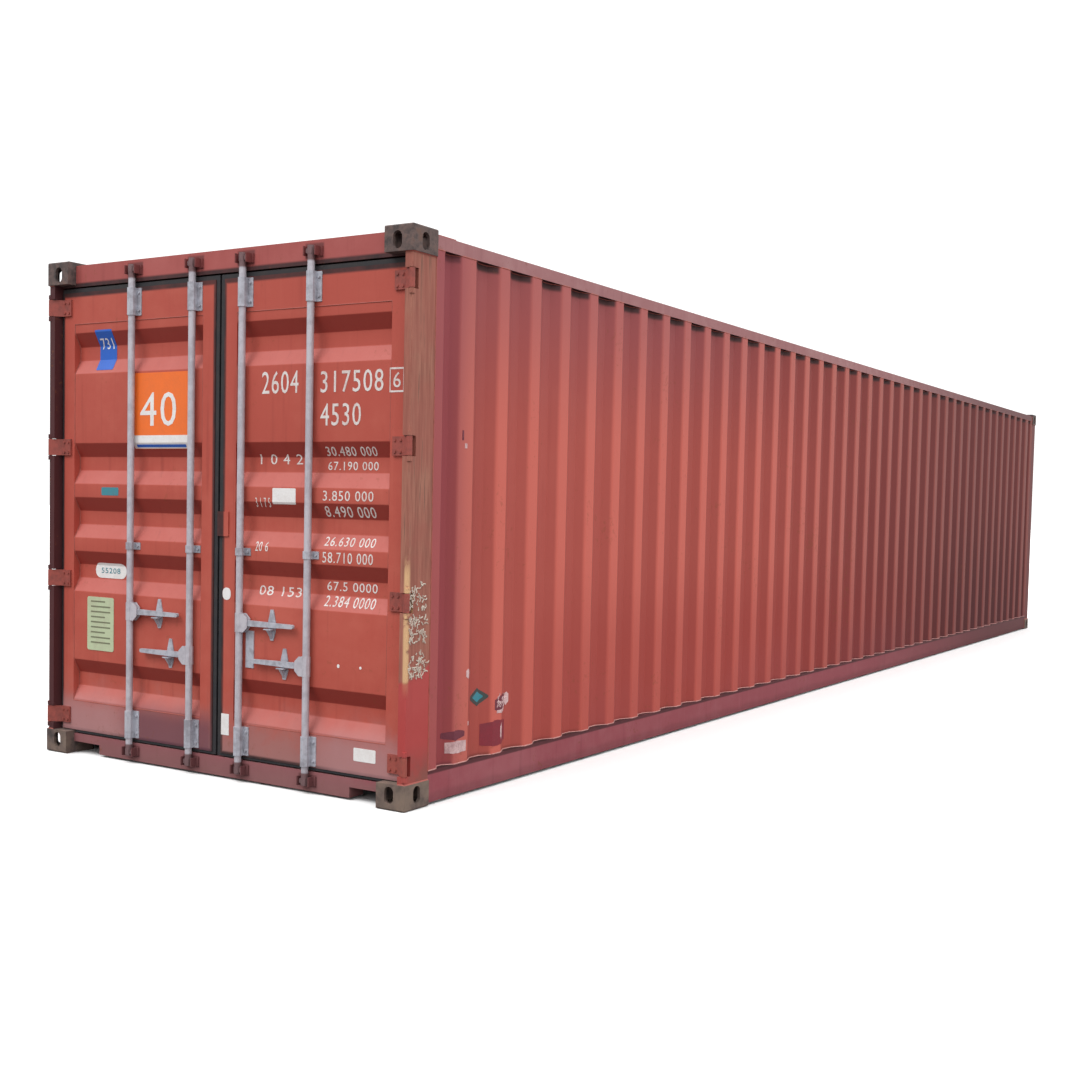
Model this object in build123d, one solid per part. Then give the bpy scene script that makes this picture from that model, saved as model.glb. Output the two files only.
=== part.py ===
from build123d import *
import os

os.makedirs("parts", exist_ok=True)

# Overall envelope of a forty foot standard height dry freight container
LENGTH = 12192.0
WIDTH = 2438.0
HEIGHT = 2591.0
HALF_LENGTH = LENGTH / 2
HALF_WIDTH = WIDTH / 2

# Corner castings
CASTING_LENGTH = 178.0
CASTING_WIDTH = 162.0
CASTING_HEIGHT = 118.0
CASTING_PLATE = 27.0
CASTING_WALL = 16.0
CASTING_BACK = 11.0
CASTING_EDGE = 8.0
SLOT_LENGTH = 124.0
SLOT_WIDTH = 63.5
SLOT_SPACING_X = 11985.0
SLOT_SPACING_Y = 2259.0
SIDE_HOLE_HEIGHT = 79.0
SIDE_HOLE_WIDTH = 51.0
SIDE_HOLE_INSET = 89.0
SIDE_HOLE_SHIFT = 0.5
CUT_MARGIN = 5.0

# Faces that the frame members share
FRAME_Y = 1211.0
FRONT_X = HALF_LENGTH - 8.0
CASTING_INNER_X = HALF_LENGTH - CASTING_LENGTH
CASTING_INNER_Y = HALF_WIDTH - CASTING_WIDTH
CASTING_TOP_Z = HEIGHT - CASTING_HEIGHT

# Rear corner posts, depths counted from the door end plane
POST_DEPTH_NEAR = 8.0
POST_DEPTH_FAR = CASTING_LENGTH
POST_INNER_Y = 1170.0
POST_SKIN = 6.0
POST_CHANNEL = 12.0
POST_EDGE = 5.0
NOTCH_DEPTH = 50.0

# Hinges
HINGE_MIDDLE_Z = 1278.0
HINGE_NEAR_STEP = 347.0
HINGE_FAR_STEP = 1078.0
HINGE_DEPTH = 13.0
HINGE_Y = 1206.0
PIN_RADIUS = 8.0
KNUCKLE_RADIUS = 12.0
KNUCKLE_BORE = 8.4
BLADE_HEIGHT = 85.0
BLADE_THICKNESS = 10.0
BLADE_END_Y = 1085.0
BLADE_NECK_OUTER = (8.0, 9.0)
BLADE_NECK_INNER = (5.0, 10.0)
BLADE_BEND_OUTER = 6.0
BLADE_BEND_INNER = 3.0
HINGE_GAP = 3.0
LUG_HEIGHT = 22.0
PIN_SEAT = 1.0

# Door end header and sill
RAIL_FACE_DEPTH = 52.0
RAIL_BACK_DEPTH = 150.0
RAIL_PLATE = 4.0
HEADER_LOW_Z = 2463.0
SILL_LOW_Z = 10.0
SILL_TOP_Z = 103.0
SILL_NOTCH_LENGTH = 200.0
SILL_NOTCH_Z = 60.0

# Long rails
TOP_RAIL_LOW_Z = 2508.0
TOP_RAIL_SIZE = 60.0
TOP_RAIL_WALL = 3.0
BOTTOM_RAIL_LOW_Z = 12.0
BOTTOM_RAIL_TOP_Z = 158.0
BOTTOM_RAIL_DEPTH = 48.0
BOTTOM_RAIL_WALL = 4.5

# Side wall sheet
SIDE_SHEET = 2.0
SIDE_RECESS_DEPTH = 36.0
SIDE_FLAT = 73.0
SIDE_INNER_FLAT = 70.0
SIDE_FULL_COUNT = 40
SIDE_FULL_START = 480.0
SIDE_END_START = 239.0
SIDE_END_SLOPE = 48.0
SIDE_END_FLAT = 40.0

# Front wall sheet
FRONT_SHEET = 2.0
FRONT_PITCH = 250.0
FRONT_FLAT = 104.0
FRONT_SLOPE = 18.0
FRONT_RECESS_DEPTH = 45.6
FRONT_COUNT = 8
FRONT_EDGE_Y = 1100.0
FRONT_POST_SKIN = 6.0
FRONT_POST_RETURN = 42.0

# Roof sheet
ROOF_SHEET = 2.0
ROOF_LOW_Z = TOP_RAIL_LOW_Z + TOP_RAIL_SIZE
ROOF_RISE = 16.0
ROOF_PITCH = 209.0
ROOF_CREST = 91.0
ROOF_SLOPE = 13.5
ROOF_EDGE_Y = 1205.0
ROOF_CREST_END_Y = 1130.0
ROOF_PLATE_END = 330.0
ROOF_PLATE = 4.0

# Floor and underframe
FLOOR_TOP_Z = 170.0
FLOOR_THICKNESS = 28.0
FLOOR_LOW_Z = FLOOR_TOP_Z - FLOOR_THICKNESS
CROSS_LOW_Z = 20.0
CROSS_FLANGE = 45.0
CROSS_WALL = 4.0
CROSS_SPACING = 300.0
CROSS_END_GAP = 60.0
TUNNEL_LENGTH = 3315.0
TUNNEL_HALF_WIDTH = 514.5
TUNNEL_HEIGHT = 120.0
TUNNEL_PLATE = 4.0

# Door leaves, widths counted from the centre line
LEAF_DEPTH_NEAR = 52.0
LEAF_THICKNESS = 50.0
LEAF_FREE_Y = 30.0
LEAF_HINGE_Y = 1150.0
LEAF_LOW_Z = 123.0
LEAF_TOP_Z = 2434.0
LEAF_STILE = 85.0
LEAF_TOP_RAIL = 164.0
LEAF_BOTTOM_RAIL = 157.0
LEAF_WALL = 4.0
LAP_PLATE_Y = (1.0, 74.0)
LAP_PLATE_Z = (1190.0, 1310.0)
LAP_PLATE_THICKNESS = 6.0
PANEL_SHEET = 2.0
PANEL_SET_BACK = 2.0
PANEL_RECESS_DEPTH = 36.0
PANEL_SLOPE = 72.0
PANEL_FLAT = 70.0
PANEL_MIDDLE_Z = 1256.0
PANEL_RECESS_STEPS = (-860.0, -284.0, 0.0, 284.0, 860.0)
GASKET_LOW_Z = 110.0
GASKET_TOP_Z = 2455.0
GASKET_HINGE_Y = 1163.0
GASKET_FREE_Y = 6.0
GASKET_LIP_NEAR = 56.0
GASKET_LIP_FAR = 64.0
GASKET_FAR = 98.0
GASKET_BODY = 6.0
CASTING_CLEARANCE = 8.0

# Locking bars, handles and their fittings
BAR_RADIUS = 17.0
BAR_DEPTH = 30.0
BAR_LOW_Z = 40.0
BAR_TOP_Z = 2545.0
INNER_BAR_Y = 170.0
OUTER_BAR_Y = 603.0
BEARING_BORE = 17.4
BEARING_RADIUS = 21.5
BEARING_CROWN = 9.0
BRACKET_PLATE = 4.5
BRACKET_NARROW = 36.0
BRACKET_WIDE = 50.0
CAM_RADIUS = 19.0
CAM_REACH = 26.0
CAM_TONGUE_HALF = 9.0
CAM_SHOULDER = 5.0
FORGED_SIDES = 8
CAM_LOW_BAND = (45.0, 75.0)
CAM_TOP_BAND = (2505.0, 2535.0)
KEEPER_GAP = 32.0
KEEPER_CHEEK = 6.0
KEEPER_FOOT = 14.0
KEEPER_NEAR = 14.0
KEEPER_MARGIN = 7.0
HANDLE_PIVOT = 40.0
HANDLE_REACH = 352.0
HANDLE_THICKNESS = 14.0
HANDLE_HEIGHT = 28.0
HANDLE_NECK = 75.0
GRIP_HEIGHT = 20.0
HANDLE_EYE = 17.0
HANDLE_BORE = 6.4
HANDLE_PIN = 6.0
CLEVIS_GAP = 0.5
CLEVIS_CHEEK = 5.0
CLEVIS_EYE = 22.0
CLEVIS_SHOULDER = 36.0
COLLAR_RADIUS = 20.0
COLLAR_HALF_HEIGHT = 46.0
CATCH_WIDTH = 46.0
CATCH_SHELF = 5.0
CATCH_CLEARANCE = 5.0
CATCH_PLATE = 5.0
CATCH_FOOT = 10.0
CATCH_TIP_WIDTH = 18.0
CATCH_EAR_TOP = 58.0
CATCH_LUG_WIDTH = 12.0
CATCH_LUG_DROP = 52.0
SEAL_PLATE_ACROSS = (26.0, 78.0)
SEAL_PLATE_Z = (560.0, 740.0)


def block(x_range, y_range, z_range):
    """Rectangular block between two limits on each axis."""
    size = [high - low for low, high in (x_range, y_range, z_range)]
    middle = [(high + low) / 2 for low, high in (x_range, y_range, z_range)]
    return Pos(*middle) * Box(*size)


def span(a, b):
    """Two numbers in rising order."""
    return (min(a, b), max(a, b))


def mirrored_span(side, a, b):
    """A range of widths on one side of the centre line."""
    return span(side * a, side * b)


def rear(depth):
    """Place along the length of a depth behind the door end plane."""
    return depth - HALF_LENGTH


def prism_along_x(points, x_range):
    """Outline of (y, z) points carried along the length."""
    face = Plane.YZ.offset(x_range[0]) * Polygon(*points, align=None)
    return extrude(face, amount=x_range[1] - x_range[0], dir=(1, 0, 0))


def prism_along_y(points, y_range):
    """Outline of (x, z) points carried across the width."""
    face = Plane.XZ.offset(-y_range[0]) * Polygon(*points, align=None)
    return extrude(face, amount=y_range[1] - y_range[0], dir=(0, 1, 0))


def prism_along_z(points, z_range):
    """Outline of (x, y) points carried upwards."""
    face = Plane.XY.offset(z_range[0]) * Polygon(*points, align=None)
    return extrude(face, amount=z_range[1] - z_range[0], dir=(0, 0, 1))


def sheet_outline(face_points, shift):
    """Closed outline of a folded sheet, from one face and the shift to the other."""
    other = [(a + shift[0], b + shift[1]) for a, b in reversed(face_points)]
    return list(face_points) + other


def stadium_z(length, width, height):
    """Upright slot cutter with rounded ends, long along the length."""
    return extrude(SlotOverall(length, width), amount=height, both=True)


def rod_z(x, y, radius, z_range):
    """Upright round bar."""
    middle = (z_range[0] + z_range[1]) / 2
    return Pos(x, y, middle) * Cylinder(radius, z_range[1] - z_range[0])


# Corner castings

def round_corner(body, corner, radius):
    """Block with the three edges that meet at one corner rounded."""
    edges = body.edges().filter_by(lambda edge: edge.distance_to(Vertex(*corner)) < radius)
    return fillet(edges, radius)


def casting(x_side, y_side, z_side):
    """Hollow corner casting with a slot in its level face and a hole in each outer face."""
    x_out = x_side * HALF_LENGTH
    y_out = y_side * HALF_WIDTH
    z_out = HEIGHT if z_side > 0 else 0.0
    body = block(
        span(x_out, x_out - x_side * CASTING_LENGTH),
        span(y_out, y_out - y_side * CASTING_WIDTH),
        span(z_out, z_out - z_side * CASTING_HEIGHT),
    )
    body = round_corner(body, (x_out, y_out, z_out), CASTING_EDGE)
    cavity = block(
        span(x_out - x_side * CASTING_WALL, x_out - x_side * (CASTING_LENGTH - CASTING_BACK)),
        span(y_out - y_side * CASTING_WALL, y_out - y_side * (CASTING_WIDTH - CASTING_BACK)),
        span(z_out - z_side * CASTING_PLATE, z_out - z_side * (CASTING_HEIGHT - CASTING_BACK)),
    )
    slot_x = x_side * SLOT_SPACING_X / 2
    slot_y = y_side * SLOT_SPACING_Y / 2
    slot = Pos(slot_x, slot_y, z_out) * stadium_z(SLOT_LENGTH, SLOT_WIDTH, CASTING_PLATE + CUT_MARGIN)
    hole_z = z_out - z_side * (CASTING_PLATE + SIDE_HOLE_HEIGHT / 2 + SIDE_HOLE_SHIFT)
    hole = stadium_z(SIDE_HOLE_HEIGHT, SIDE_HOLE_WIDTH, CASTING_WALL + CUT_MARGIN)
    end_place = (x_out, y_out - y_side * SIDE_HOLE_INSET, hole_z)
    side_place = (x_out - x_side * SIDE_HOLE_INSET, y_out, hole_z)
    end_plane = Plane(origin=end_place, x_dir=(0, 0, 1), z_dir=(1, 0, 0))
    side_plane = Plane(origin=side_place, x_dir=(0, 0, 1), z_dir=(0, 1, 0))
    return body - cavity - slot - end_plane * hole - side_plane * hole


# Rear corner posts

def hinge_heights():
    """Middle heights of the four hinges of a door."""
    steps = (-HINGE_FAR_STEP, -HINGE_NEAR_STEP, HINGE_NEAR_STEP, HINGE_FAR_STEP)
    return [HINGE_MIDDLE_Z + step for step in steps]


def notch_bands():
    """Height ranges that the hinge blades swing in."""
    half = BLADE_HEIGHT / 2 + HINGE_GAP
    return [(z - half, z + half) for z in hinge_heights()]


def rear_post(side):
    """Hollow rear post with four lined hinge notches, their lugs and pins."""
    bottom = CASTING_HEIGHT
    top = CASTING_TOP_Z
    post = block(
        (rear(POST_DEPTH_NEAR), rear(POST_DEPTH_FAR)),
        mirrored_span(side, POST_INNER_Y, FRAME_Y),
        (bottom, top),
    )
    outer_edge = post.edges().filter_by(Axis.Z).sort_by_distance((rear(0), side * HALF_WIDTH, bottom))[0]
    post = fillet(outer_edge, POST_EDGE)
    inside_y = mirrored_span(side, POST_INNER_Y + POST_CHANNEL, FRAME_Y - POST_SKIN)
    liner = NOTCH_DEPTH + POST_SKIN
    post -= block((rear(liner), rear(POST_DEPTH_FAR - POST_SKIN)), inside_y, (bottom, top))
    edges = [bottom]
    for low, high in notch_bands():
        edges += [low - POST_SKIN, high + POST_SKIN]
        notch_y = mirrored_span(side, POST_INNER_Y, HALF_WIDTH)
        post -= block((rear(0), rear(NOTCH_DEPTH)), notch_y, (low, high))
    edges.append(top)
    for low, high in zip(edges[0::2], edges[1::2]):
        post -= block((rear(POST_DEPTH_NEAR + POST_SKIN), rear(liner)), inside_y, (low, high))
    for low, high in notch_bands():
        x = rear(HINGE_DEPTH)
        y = side * HINGE_Y
        post += rod_z(x, y, KNUCKLE_RADIUS, (low - LUG_HEIGHT, low))
        post += rod_z(x, y, KNUCKLE_RADIUS, (high, high + LUG_HEIGHT))
        post += rod_z(x, y, PIN_RADIUS, (low - PIN_SEAT, high + PIN_SEAT))
    return post


def front_post(side):
    """Open pressed front post whose two flanges return inwards."""
    skin = FRONT_POST_SKIN
    x_near = CASTING_INNER_X
    inner_y = FRAME_Y - FRONT_POST_RETURN
    inner_x = FRONT_X - FRONT_POST_RETURN
    outline = [
        (x_near, FRAME_Y),
        (FRONT_X, FRAME_Y),
        (FRONT_X, FRONT_EDGE_Y),
        (inner_x, FRONT_EDGE_Y),
        (inner_x, FRONT_EDGE_Y + skin),
        (FRONT_X - skin, FRONT_EDGE_Y + skin),
        (FRONT_X - skin, FRAME_Y - skin),
        (x_near + skin, FRAME_Y - skin),
        (x_near + skin, inner_y),
        (x_near, inner_y),
    ]
    return prism_along_z([(x, side * y) for x, y in outline], (CASTING_HEIGHT, CASTING_TOP_Z))


# Door end header and sill

def keeper(bar_y, band):
    """Open fronted bracket that a cam of a locking bar lies in."""
    z_range = (band[0] - KEEPER_MARGIN, band[1] + KEEPER_MARGIN)
    outer = KEEPER_GAP + KEEPER_CHEEK
    near = rear(KEEPER_NEAR)
    face = rear(RAIL_FACE_DEPTH)
    halves = []
    for side in (-1, 1):
        cheek_y = span(bar_y + side * KEEPER_GAP, bar_y + side * outer)
        foot_y = span(bar_y + side * outer, bar_y + side * (outer + KEEPER_FOOT))
        cheek = block((near, face), cheek_y, z_range)
        halves.append(cheek + block((face - KEEPER_CHEEK, face), foot_y, z_range))
    return halves


def bar_places():
    """Places across the width of the four locking bars."""
    return [side * y for side in (-1, 1) for y in (INNER_BAR_Y, OUTER_BAR_Y)]


def door_header():
    """Hollow header over the doors, with its roof plate, lower lip and cam keepers."""
    face = rear(RAIL_FACE_DEPTH)
    back = rear(RAIL_BACK_DEPTH)
    top = ROOF_LOW_Z + ROOF_SHEET + ROOF_PLATE
    header = block((face, back), (-CASTING_INNER_Y, CASTING_INNER_Y), (HEADER_LOW_Z, top))
    header += block((face, back), (-POST_INNER_Y, POST_INNER_Y), (HEADER_LOW_Z, CASTING_TOP_Z))
    header -= block(
        (face + RAIL_PLATE, back - RAIL_PLATE),
        (-CASTING_INNER_Y, CASTING_INNER_Y),
        (HEADER_LOW_Z + RAIL_PLATE, top - RAIL_PLATE),
    )
    plate_z = (top - ROOF_PLATE, top)
    edge_x = rear(CASTING_LENGTH)
    header += block((back - RAIL_PLATE, edge_x), (-CASTING_INNER_Y, CASTING_INNER_Y), plate_z)
    header += block((edge_x, rear(ROOF_PLATE_END)), (-ROOF_EDGE_Y, ROOF_EDGE_Y), plate_z)
    for bar_y in bar_places():
        header += keeper(bar_y, CAM_TOP_BAND)
    return header


def door_sill():
    """Hollow sill under the doors, with its upstand, end notches and cam keepers."""
    face = rear(RAIL_FACE_DEPTH)
    back = rear(RAIL_BACK_DEPTH)
    half = CASTING_INNER_Y
    sill = block((face, back), (-half, half), (SILL_LOW_Z, SILL_TOP_Z))
    sill -= block(
        (face + RAIL_PLATE, back - RAIL_PLATE),
        (-half, half),
        (SILL_LOW_Z + RAIL_PLATE, SILL_TOP_Z - RAIL_PLATE),
    )
    for side in (-1, 1):
        notch_y = mirrored_span(side, half - SILL_NOTCH_LENGTH, half)
        sill -= block((face, back), notch_y, (SILL_LOW_Z, SILL_NOTCH_Z))
        sill += block((face, back), notch_y, (SILL_NOTCH_Z, SILL_NOTCH_Z + RAIL_PLATE))
        end_y = mirrored_span(side, half - SILL_NOTCH_LENGTH - RAIL_PLATE, half - SILL_NOTCH_LENGTH)
        sill += block((face, back), end_y, (SILL_LOW_Z, SILL_NOTCH_Z + RAIL_PLATE))
    upstand_x = (back - RAIL_PLATE, back)
    upstand_top = FLOOR_TOP_Z - RAIL_PLATE
    sill += block(upstand_x, (-half, half), (SILL_TOP_Z, upstand_top))
    sill += block(upstand_x, (-POST_INNER_Y, POST_INNER_Y), (CASTING_HEIGHT, upstand_top))
    for bar_y in bar_places():
        sill += keeper(bar_y, CAM_LOW_BAND)
    return sill


# Front end header and sill

def front_header():
    """Square tube over the front wall, with the plate that guards the roof's front edge."""
    x_range = (FRONT_X - TOP_RAIL_SIZE, FRONT_X)
    y_range = (-CASTING_INNER_Y, CASTING_INNER_Y)
    wall = TOP_RAIL_WALL
    tube = block(x_range, y_range, (TOP_RAIL_LOW_Z, ROOF_LOW_Z))
    bore_x = (x_range[0] + wall, x_range[1] - wall)
    return tube - block(bore_x, y_range, (TOP_RAIL_LOW_Z + wall, ROOF_LOW_Z - wall))


def front_roof_plate():
    """Plate on the roof's front edge, between and behind the castings."""
    low = ROOF_LOW_Z + ROOF_SHEET
    z_range = (low, low + ROOF_PLATE)
    edge_x = CASTING_INNER_X
    plate = block((edge_x, FRONT_X), (-CASTING_INNER_Y, CASTING_INNER_Y), z_range)
    return plate + block((HALF_LENGTH - ROOF_PLATE_END, edge_x), (-ROOF_EDGE_Y, ROOF_EDGE_Y), z_range)


def front_sill():
    """Channel under the front wall, cut away over the gooseneck tunnel."""
    wall = RAIL_PLATE
    x_range = (FRONT_X - BOTTOM_RAIL_DEPTH, FRONT_X)
    low = BOTTOM_RAIL_LOW_Z
    top = BOTTOM_RAIL_TOP_Z
    half = CASTING_INNER_Y
    sill = block(x_range, (-half, half), (low, top))
    sill -= block((x_range[0], x_range[1] - wall), (-half, half), (low + wall, top - wall))
    sill -= block(x_range, (-TUNNEL_HALF_WIDTH, TUNNEL_HALF_WIDTH), (low, TUNNEL_HEIGHT))
    for side in (-1, 1):
        sill += block(x_range, mirrored_span(side, half, FRONT_EDGE_Y), (CASTING_HEIGHT, top))
    return sill


# Long rails

def top_rail(side):
    """Square tube along the top of a side wall."""
    x_range = (-CASTING_INNER_X, CASTING_INNER_X)
    wall = TOP_RAIL_WALL
    inner = FRAME_Y - TOP_RAIL_SIZE
    tube = block(x_range, mirrored_span(side, inner, FRAME_Y), (TOP_RAIL_LOW_Z, ROOF_LOW_Z))
    bore_y = mirrored_span(side, inner + wall, FRAME_Y - wall)
    return tube - block(x_range, bore_y, (TOP_RAIL_LOW_Z + wall, ROOF_LOW_Z - wall))


def bottom_rail(side):
    """Channel along the foot of a side wall, its flanges turned inwards."""
    x_range = (-CASTING_INNER_X, CASTING_INNER_X)
    wall = BOTTOM_RAIL_WALL
    inner = FRAME_Y - BOTTOM_RAIL_DEPTH
    channel = block(x_range, mirrored_span(side, inner, FRAME_Y), (BOTTOM_RAIL_LOW_Z, BOTTOM_RAIL_TOP_Z))
    inside_y = mirrored_span(side, inner, FRAME_Y - wall)
    return channel - block(x_range, inside_y, (BOTTOM_RAIL_LOW_Z + wall, BOTTOM_RAIL_TOP_Z - wall))


# Corrugated walls and roof

def side_recesses():
    """Start, slope length and inner flat of each recess, from the door end."""
    pitch = (LENGTH - 2 * SIDE_FULL_START + SIDE_FLAT) / SIDE_FULL_COUNT
    slope = (pitch - SIDE_FLAT - SIDE_INNER_FLAT) / 2
    end_width = 2 * SIDE_END_SLOPE + SIDE_END_FLAT
    recesses = [(SIDE_END_START, SIDE_END_SLOPE, SIDE_END_FLAT)]
    for index in range(SIDE_FULL_COUNT):
        recesses.append((SIDE_FULL_START + index * pitch, slope, SIDE_INNER_FLAT))
    recesses.append((LENGTH - SIDE_END_START - end_width, SIDE_END_SLOPE, SIDE_END_FLAT))
    return recesses


def side_wall(side):
    """Corrugated sheet between a top and a bottom rail."""
    deep = FRAME_Y - SIDE_RECESS_DEPTH
    points = [(rear(CASTING_LENGTH), FRAME_Y)]
    for start, slope, flat in side_recesses():
        points.append((rear(start), FRAME_Y))
        points.append((rear(start + slope), deep))
        points.append((rear(start + slope + flat), deep))
        points.append((rear(start + 2 * slope + flat), FRAME_Y))
    points.append((CASTING_INNER_X, FRAME_Y))
    outline = sheet_outline([(x, side * y) for x, y in points], (0, -side * SIDE_SHEET))
    return prism_along_z(outline, (BOTTOM_RAIL_TOP_Z, TOP_RAIL_LOW_Z))


def front_wall():
    """Corrugated sheet between the front posts, cut round the upper castings."""
    deep = FRONT_X - FRONT_RECESS_DEPTH
    recess = FRONT_PITCH - FRONT_FLAT
    start = -(FRONT_COUNT * FRONT_PITCH - FRONT_FLAT) / 2
    points = [(FRONT_X, -FRONT_EDGE_Y)]
    for index in range(FRONT_COUNT):
        y = start + index * FRONT_PITCH
        points.append((FRONT_X, y))
        points.append((deep, y + FRONT_SLOPE))
        points.append((deep, y + recess - FRONT_SLOPE))
        points.append((FRONT_X, y + recess))
    points.append((FRONT_X, FRONT_EDGE_Y))
    wall = prism_along_z(sheet_outline(points, (-FRONT_SHEET, 0)), (BOTTOM_RAIL_TOP_Z, TOP_RAIL_LOW_Z))
    for side in (-1, 1):
        corner_y = mirrored_span(side, CASTING_INNER_Y, HALF_WIDTH)
        wall -= block((CASTING_INNER_X, HALF_LENGTH), corner_y, (CASTING_TOP_Z, HEIGHT))
    return wall


def roof_crest(x, low, inset):
    """Raised rib across the roof with four sloping sides."""
    foot = ROOF_CREST + 2 * ROOF_SLOPE - inset
    head = ROOF_CREST - inset
    base = Pos(x, 0, low) * Rectangle(foot, 2 * ROOF_CREST_END_Y - inset)
    crown = Pos(x, 0, low + ROOF_RISE) * Rectangle(head, 2 * (ROOF_CREST_END_Y - ROOF_SLOPE) - inset)
    return loft([base.face(), crown.face()], ruled=True)


def roof():
    """Roof sheet with pressed ribs whose ends are closed."""
    z_range = (ROOF_LOW_Z, ROOF_LOW_Z + ROOF_SHEET)
    sheet = block((rear(RAIL_BACK_DEPTH), FRONT_X), (-ROOF_EDGE_Y, ROOF_EDGE_Y), z_range)
    for x_side in (-1, 1):
        for y_side in (-1, 1):
            corner_x = span(x_side * CASTING_INNER_X, x_side * HALF_LENGTH)
            corner_y = mirrored_span(y_side, CASTING_INNER_Y, HALF_WIDTH)
            sheet -= block(corner_x, corner_y, z_range)
    room = LENGTH - 2 * ROOF_PLATE_END
    count = int(room // ROOF_PITCH)
    first = -(count - 1) * ROOF_PITCH / 2
    places = [first + index * ROOF_PITCH for index in range(count)]
    crests = [roof_crest(x, ROOF_LOW_Z + ROOF_SHEET, 0.0) for x in places]
    hollows = [roof_crest(x, ROOF_LOW_Z, 2 * ROOF_SHEET) for x in places]
    return (sheet + crests) - hollows


# Floor and underframe

def floor_boards():
    """Timber floor on the cross members."""
    half = FRAME_Y - BOTTOM_RAIL_DEPTH
    x_range = (rear(RAIL_BACK_DEPTH), FRONT_X - BOTTOM_RAIL_DEPTH)
    return block(x_range, (-half, half), (FLOOR_LOW_Z, FLOOR_TOP_Z))


def cross_member(x, y_range):
    """Channel across the underframe, open towards the front."""
    z_range = (CROSS_LOW_Z, FLOOR_LOW_Z)
    channel = block((x, x + CROSS_FLANGE), y_range, z_range)
    inside_z = (CROSS_LOW_Z + CROSS_WALL, FLOOR_LOW_Z - CROSS_WALL)
    return channel - block((x + CROSS_WALL, x + CROSS_FLANGE), y_range, inside_z)


def cross_members():
    """Row of cross members, split in two beside the gooseneck tunnel."""
    reach = FRAME_Y - BOTTOM_RAIL_WALL
    tunnel_x = HALF_LENGTH - TUNNEL_LENGTH
    inner = TUNNEL_HALF_WIDTH + TUNNEL_PLATE
    first = rear(CASTING_LENGTH + CROSS_END_GAP)
    last = CASTING_INNER_X - CROSS_END_GAP - CROSS_FLANGE
    count = int((last - first) // CROSS_SPACING) + 1
    step = (last - first) / (count - 1)
    members = []
    for index in range(count):
        x = first + index * step
        if x + CROSS_FLANGE < tunnel_x:
            members.append(cross_member(x, (-reach, reach)))
        elif x > tunnel_x + TUNNEL_PLATE:
            members.append(cross_member(x, (-reach, -inner)))
            members.append(cross_member(x, (inner, reach)))
    return members


def gooseneck_tunnel():
    """Raised trough under the front of the floor, with its bows and end plate."""
    x_range = (HALF_LENGTH - TUNNEL_LENGTH, FRONT_X - RAIL_PLATE)
    half = TUNNEL_HALF_WIDTH
    plate = TUNNEL_PLATE
    low = CROSS_LOW_Z
    tunnel = block(x_range, (-half - plate, half + plate), (TUNNEL_HEIGHT, TUNNEL_HEIGHT + plate))
    for side in (-1, 1):
        tunnel += block(x_range, mirrored_span(side, half, half + plate), (low, FLOOR_LOW_Z))
    end_x = (x_range[0], x_range[0] + plate)
    tunnel += block(end_x, (-half - plate, half + plate), (low, FLOOR_LOW_Z))
    bow_count = int(TUNNEL_LENGTH // CROSS_SPACING)
    for index in range(1, bow_count):
        x = x_range[0] + index * CROSS_SPACING
        tunnel += block((x, x + CROSS_FLANGE), (-half, half), (TUNNEL_HEIGHT + plate, FLOOR_LOW_Z))
    return tunnel


# Door leaves

def lap_plate(side):
    """Plate on the free stile of a leaf that covers its half of the gap between the doors."""
    face = rear(LEAF_DEPTH_NEAR)
    return block((face - LAP_PLATE_THICKNESS, face), mirrored_span(side, *LAP_PLATE_Y), LAP_PLATE_Z)


def door_frame(side):
    """Welded leaf frame: two box stiles and two channel rails."""
    x_range = (rear(LEAF_DEPTH_NEAR), rear(LEAF_DEPTH_NEAR + LEAF_THICKNESS))
    wall = LEAF_WALL
    z_range = (LEAF_LOW_Z, LEAF_TOP_Z)
    inner_x = (x_range[0] + wall, x_range[1] - wall)
    frame = None
    for low in (LEAF_FREE_Y, LEAF_HINGE_Y - LEAF_STILE):
        high = low + LEAF_STILE
        stile = block(x_range, mirrored_span(side, low, high), z_range)
        stile -= block(inner_x, mirrored_span(side, low + wall, high - wall), z_range)
        frame = stile if frame is None else frame + stile
    rail_y = mirrored_span(side, LEAF_FREE_Y + LEAF_STILE, LEAF_HINGE_Y - LEAF_STILE)
    top_z = (LEAF_TOP_Z - LEAF_TOP_RAIL, LEAF_TOP_Z)
    bottom_z = (LEAF_LOW_Z, LEAF_LOW_Z + LEAF_BOTTOM_RAIL)
    for low, high in (top_z, bottom_z):
        rail = block(x_range, rail_y, (low, high))
        frame += rail - block((x_range[0] + wall, x_range[1]), rail_y, (low + wall, high - wall))
    return frame


def door_panel(side):
    """Pressed door sheet with five level recesses."""
    near = rear(LEAF_DEPTH_NEAR + PANEL_SET_BACK)
    deep = near + PANEL_RECESS_DEPTH
    half_mouth = PANEL_SLOPE + PANEL_FLAT / 2
    points = [(near, LEAF_LOW_Z + LEAF_BOTTOM_RAIL)]
    for step in PANEL_RECESS_STEPS:
        z = PANEL_MIDDLE_Z + step
        points.append((near, z - half_mouth))
        points.append((deep, z - PANEL_FLAT / 2))
        points.append((deep, z + PANEL_FLAT / 2))
        points.append((near, z + half_mouth))
    points.append((near, LEAF_TOP_Z - LEAF_TOP_RAIL))
    outline = sheet_outline(points, (PANEL_SHEET, 0))
    return prism_along_y(outline, mirrored_span(side, LEAF_FREE_Y + LEAF_STILE, LEAF_HINGE_Y - LEAF_STILE))


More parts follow.
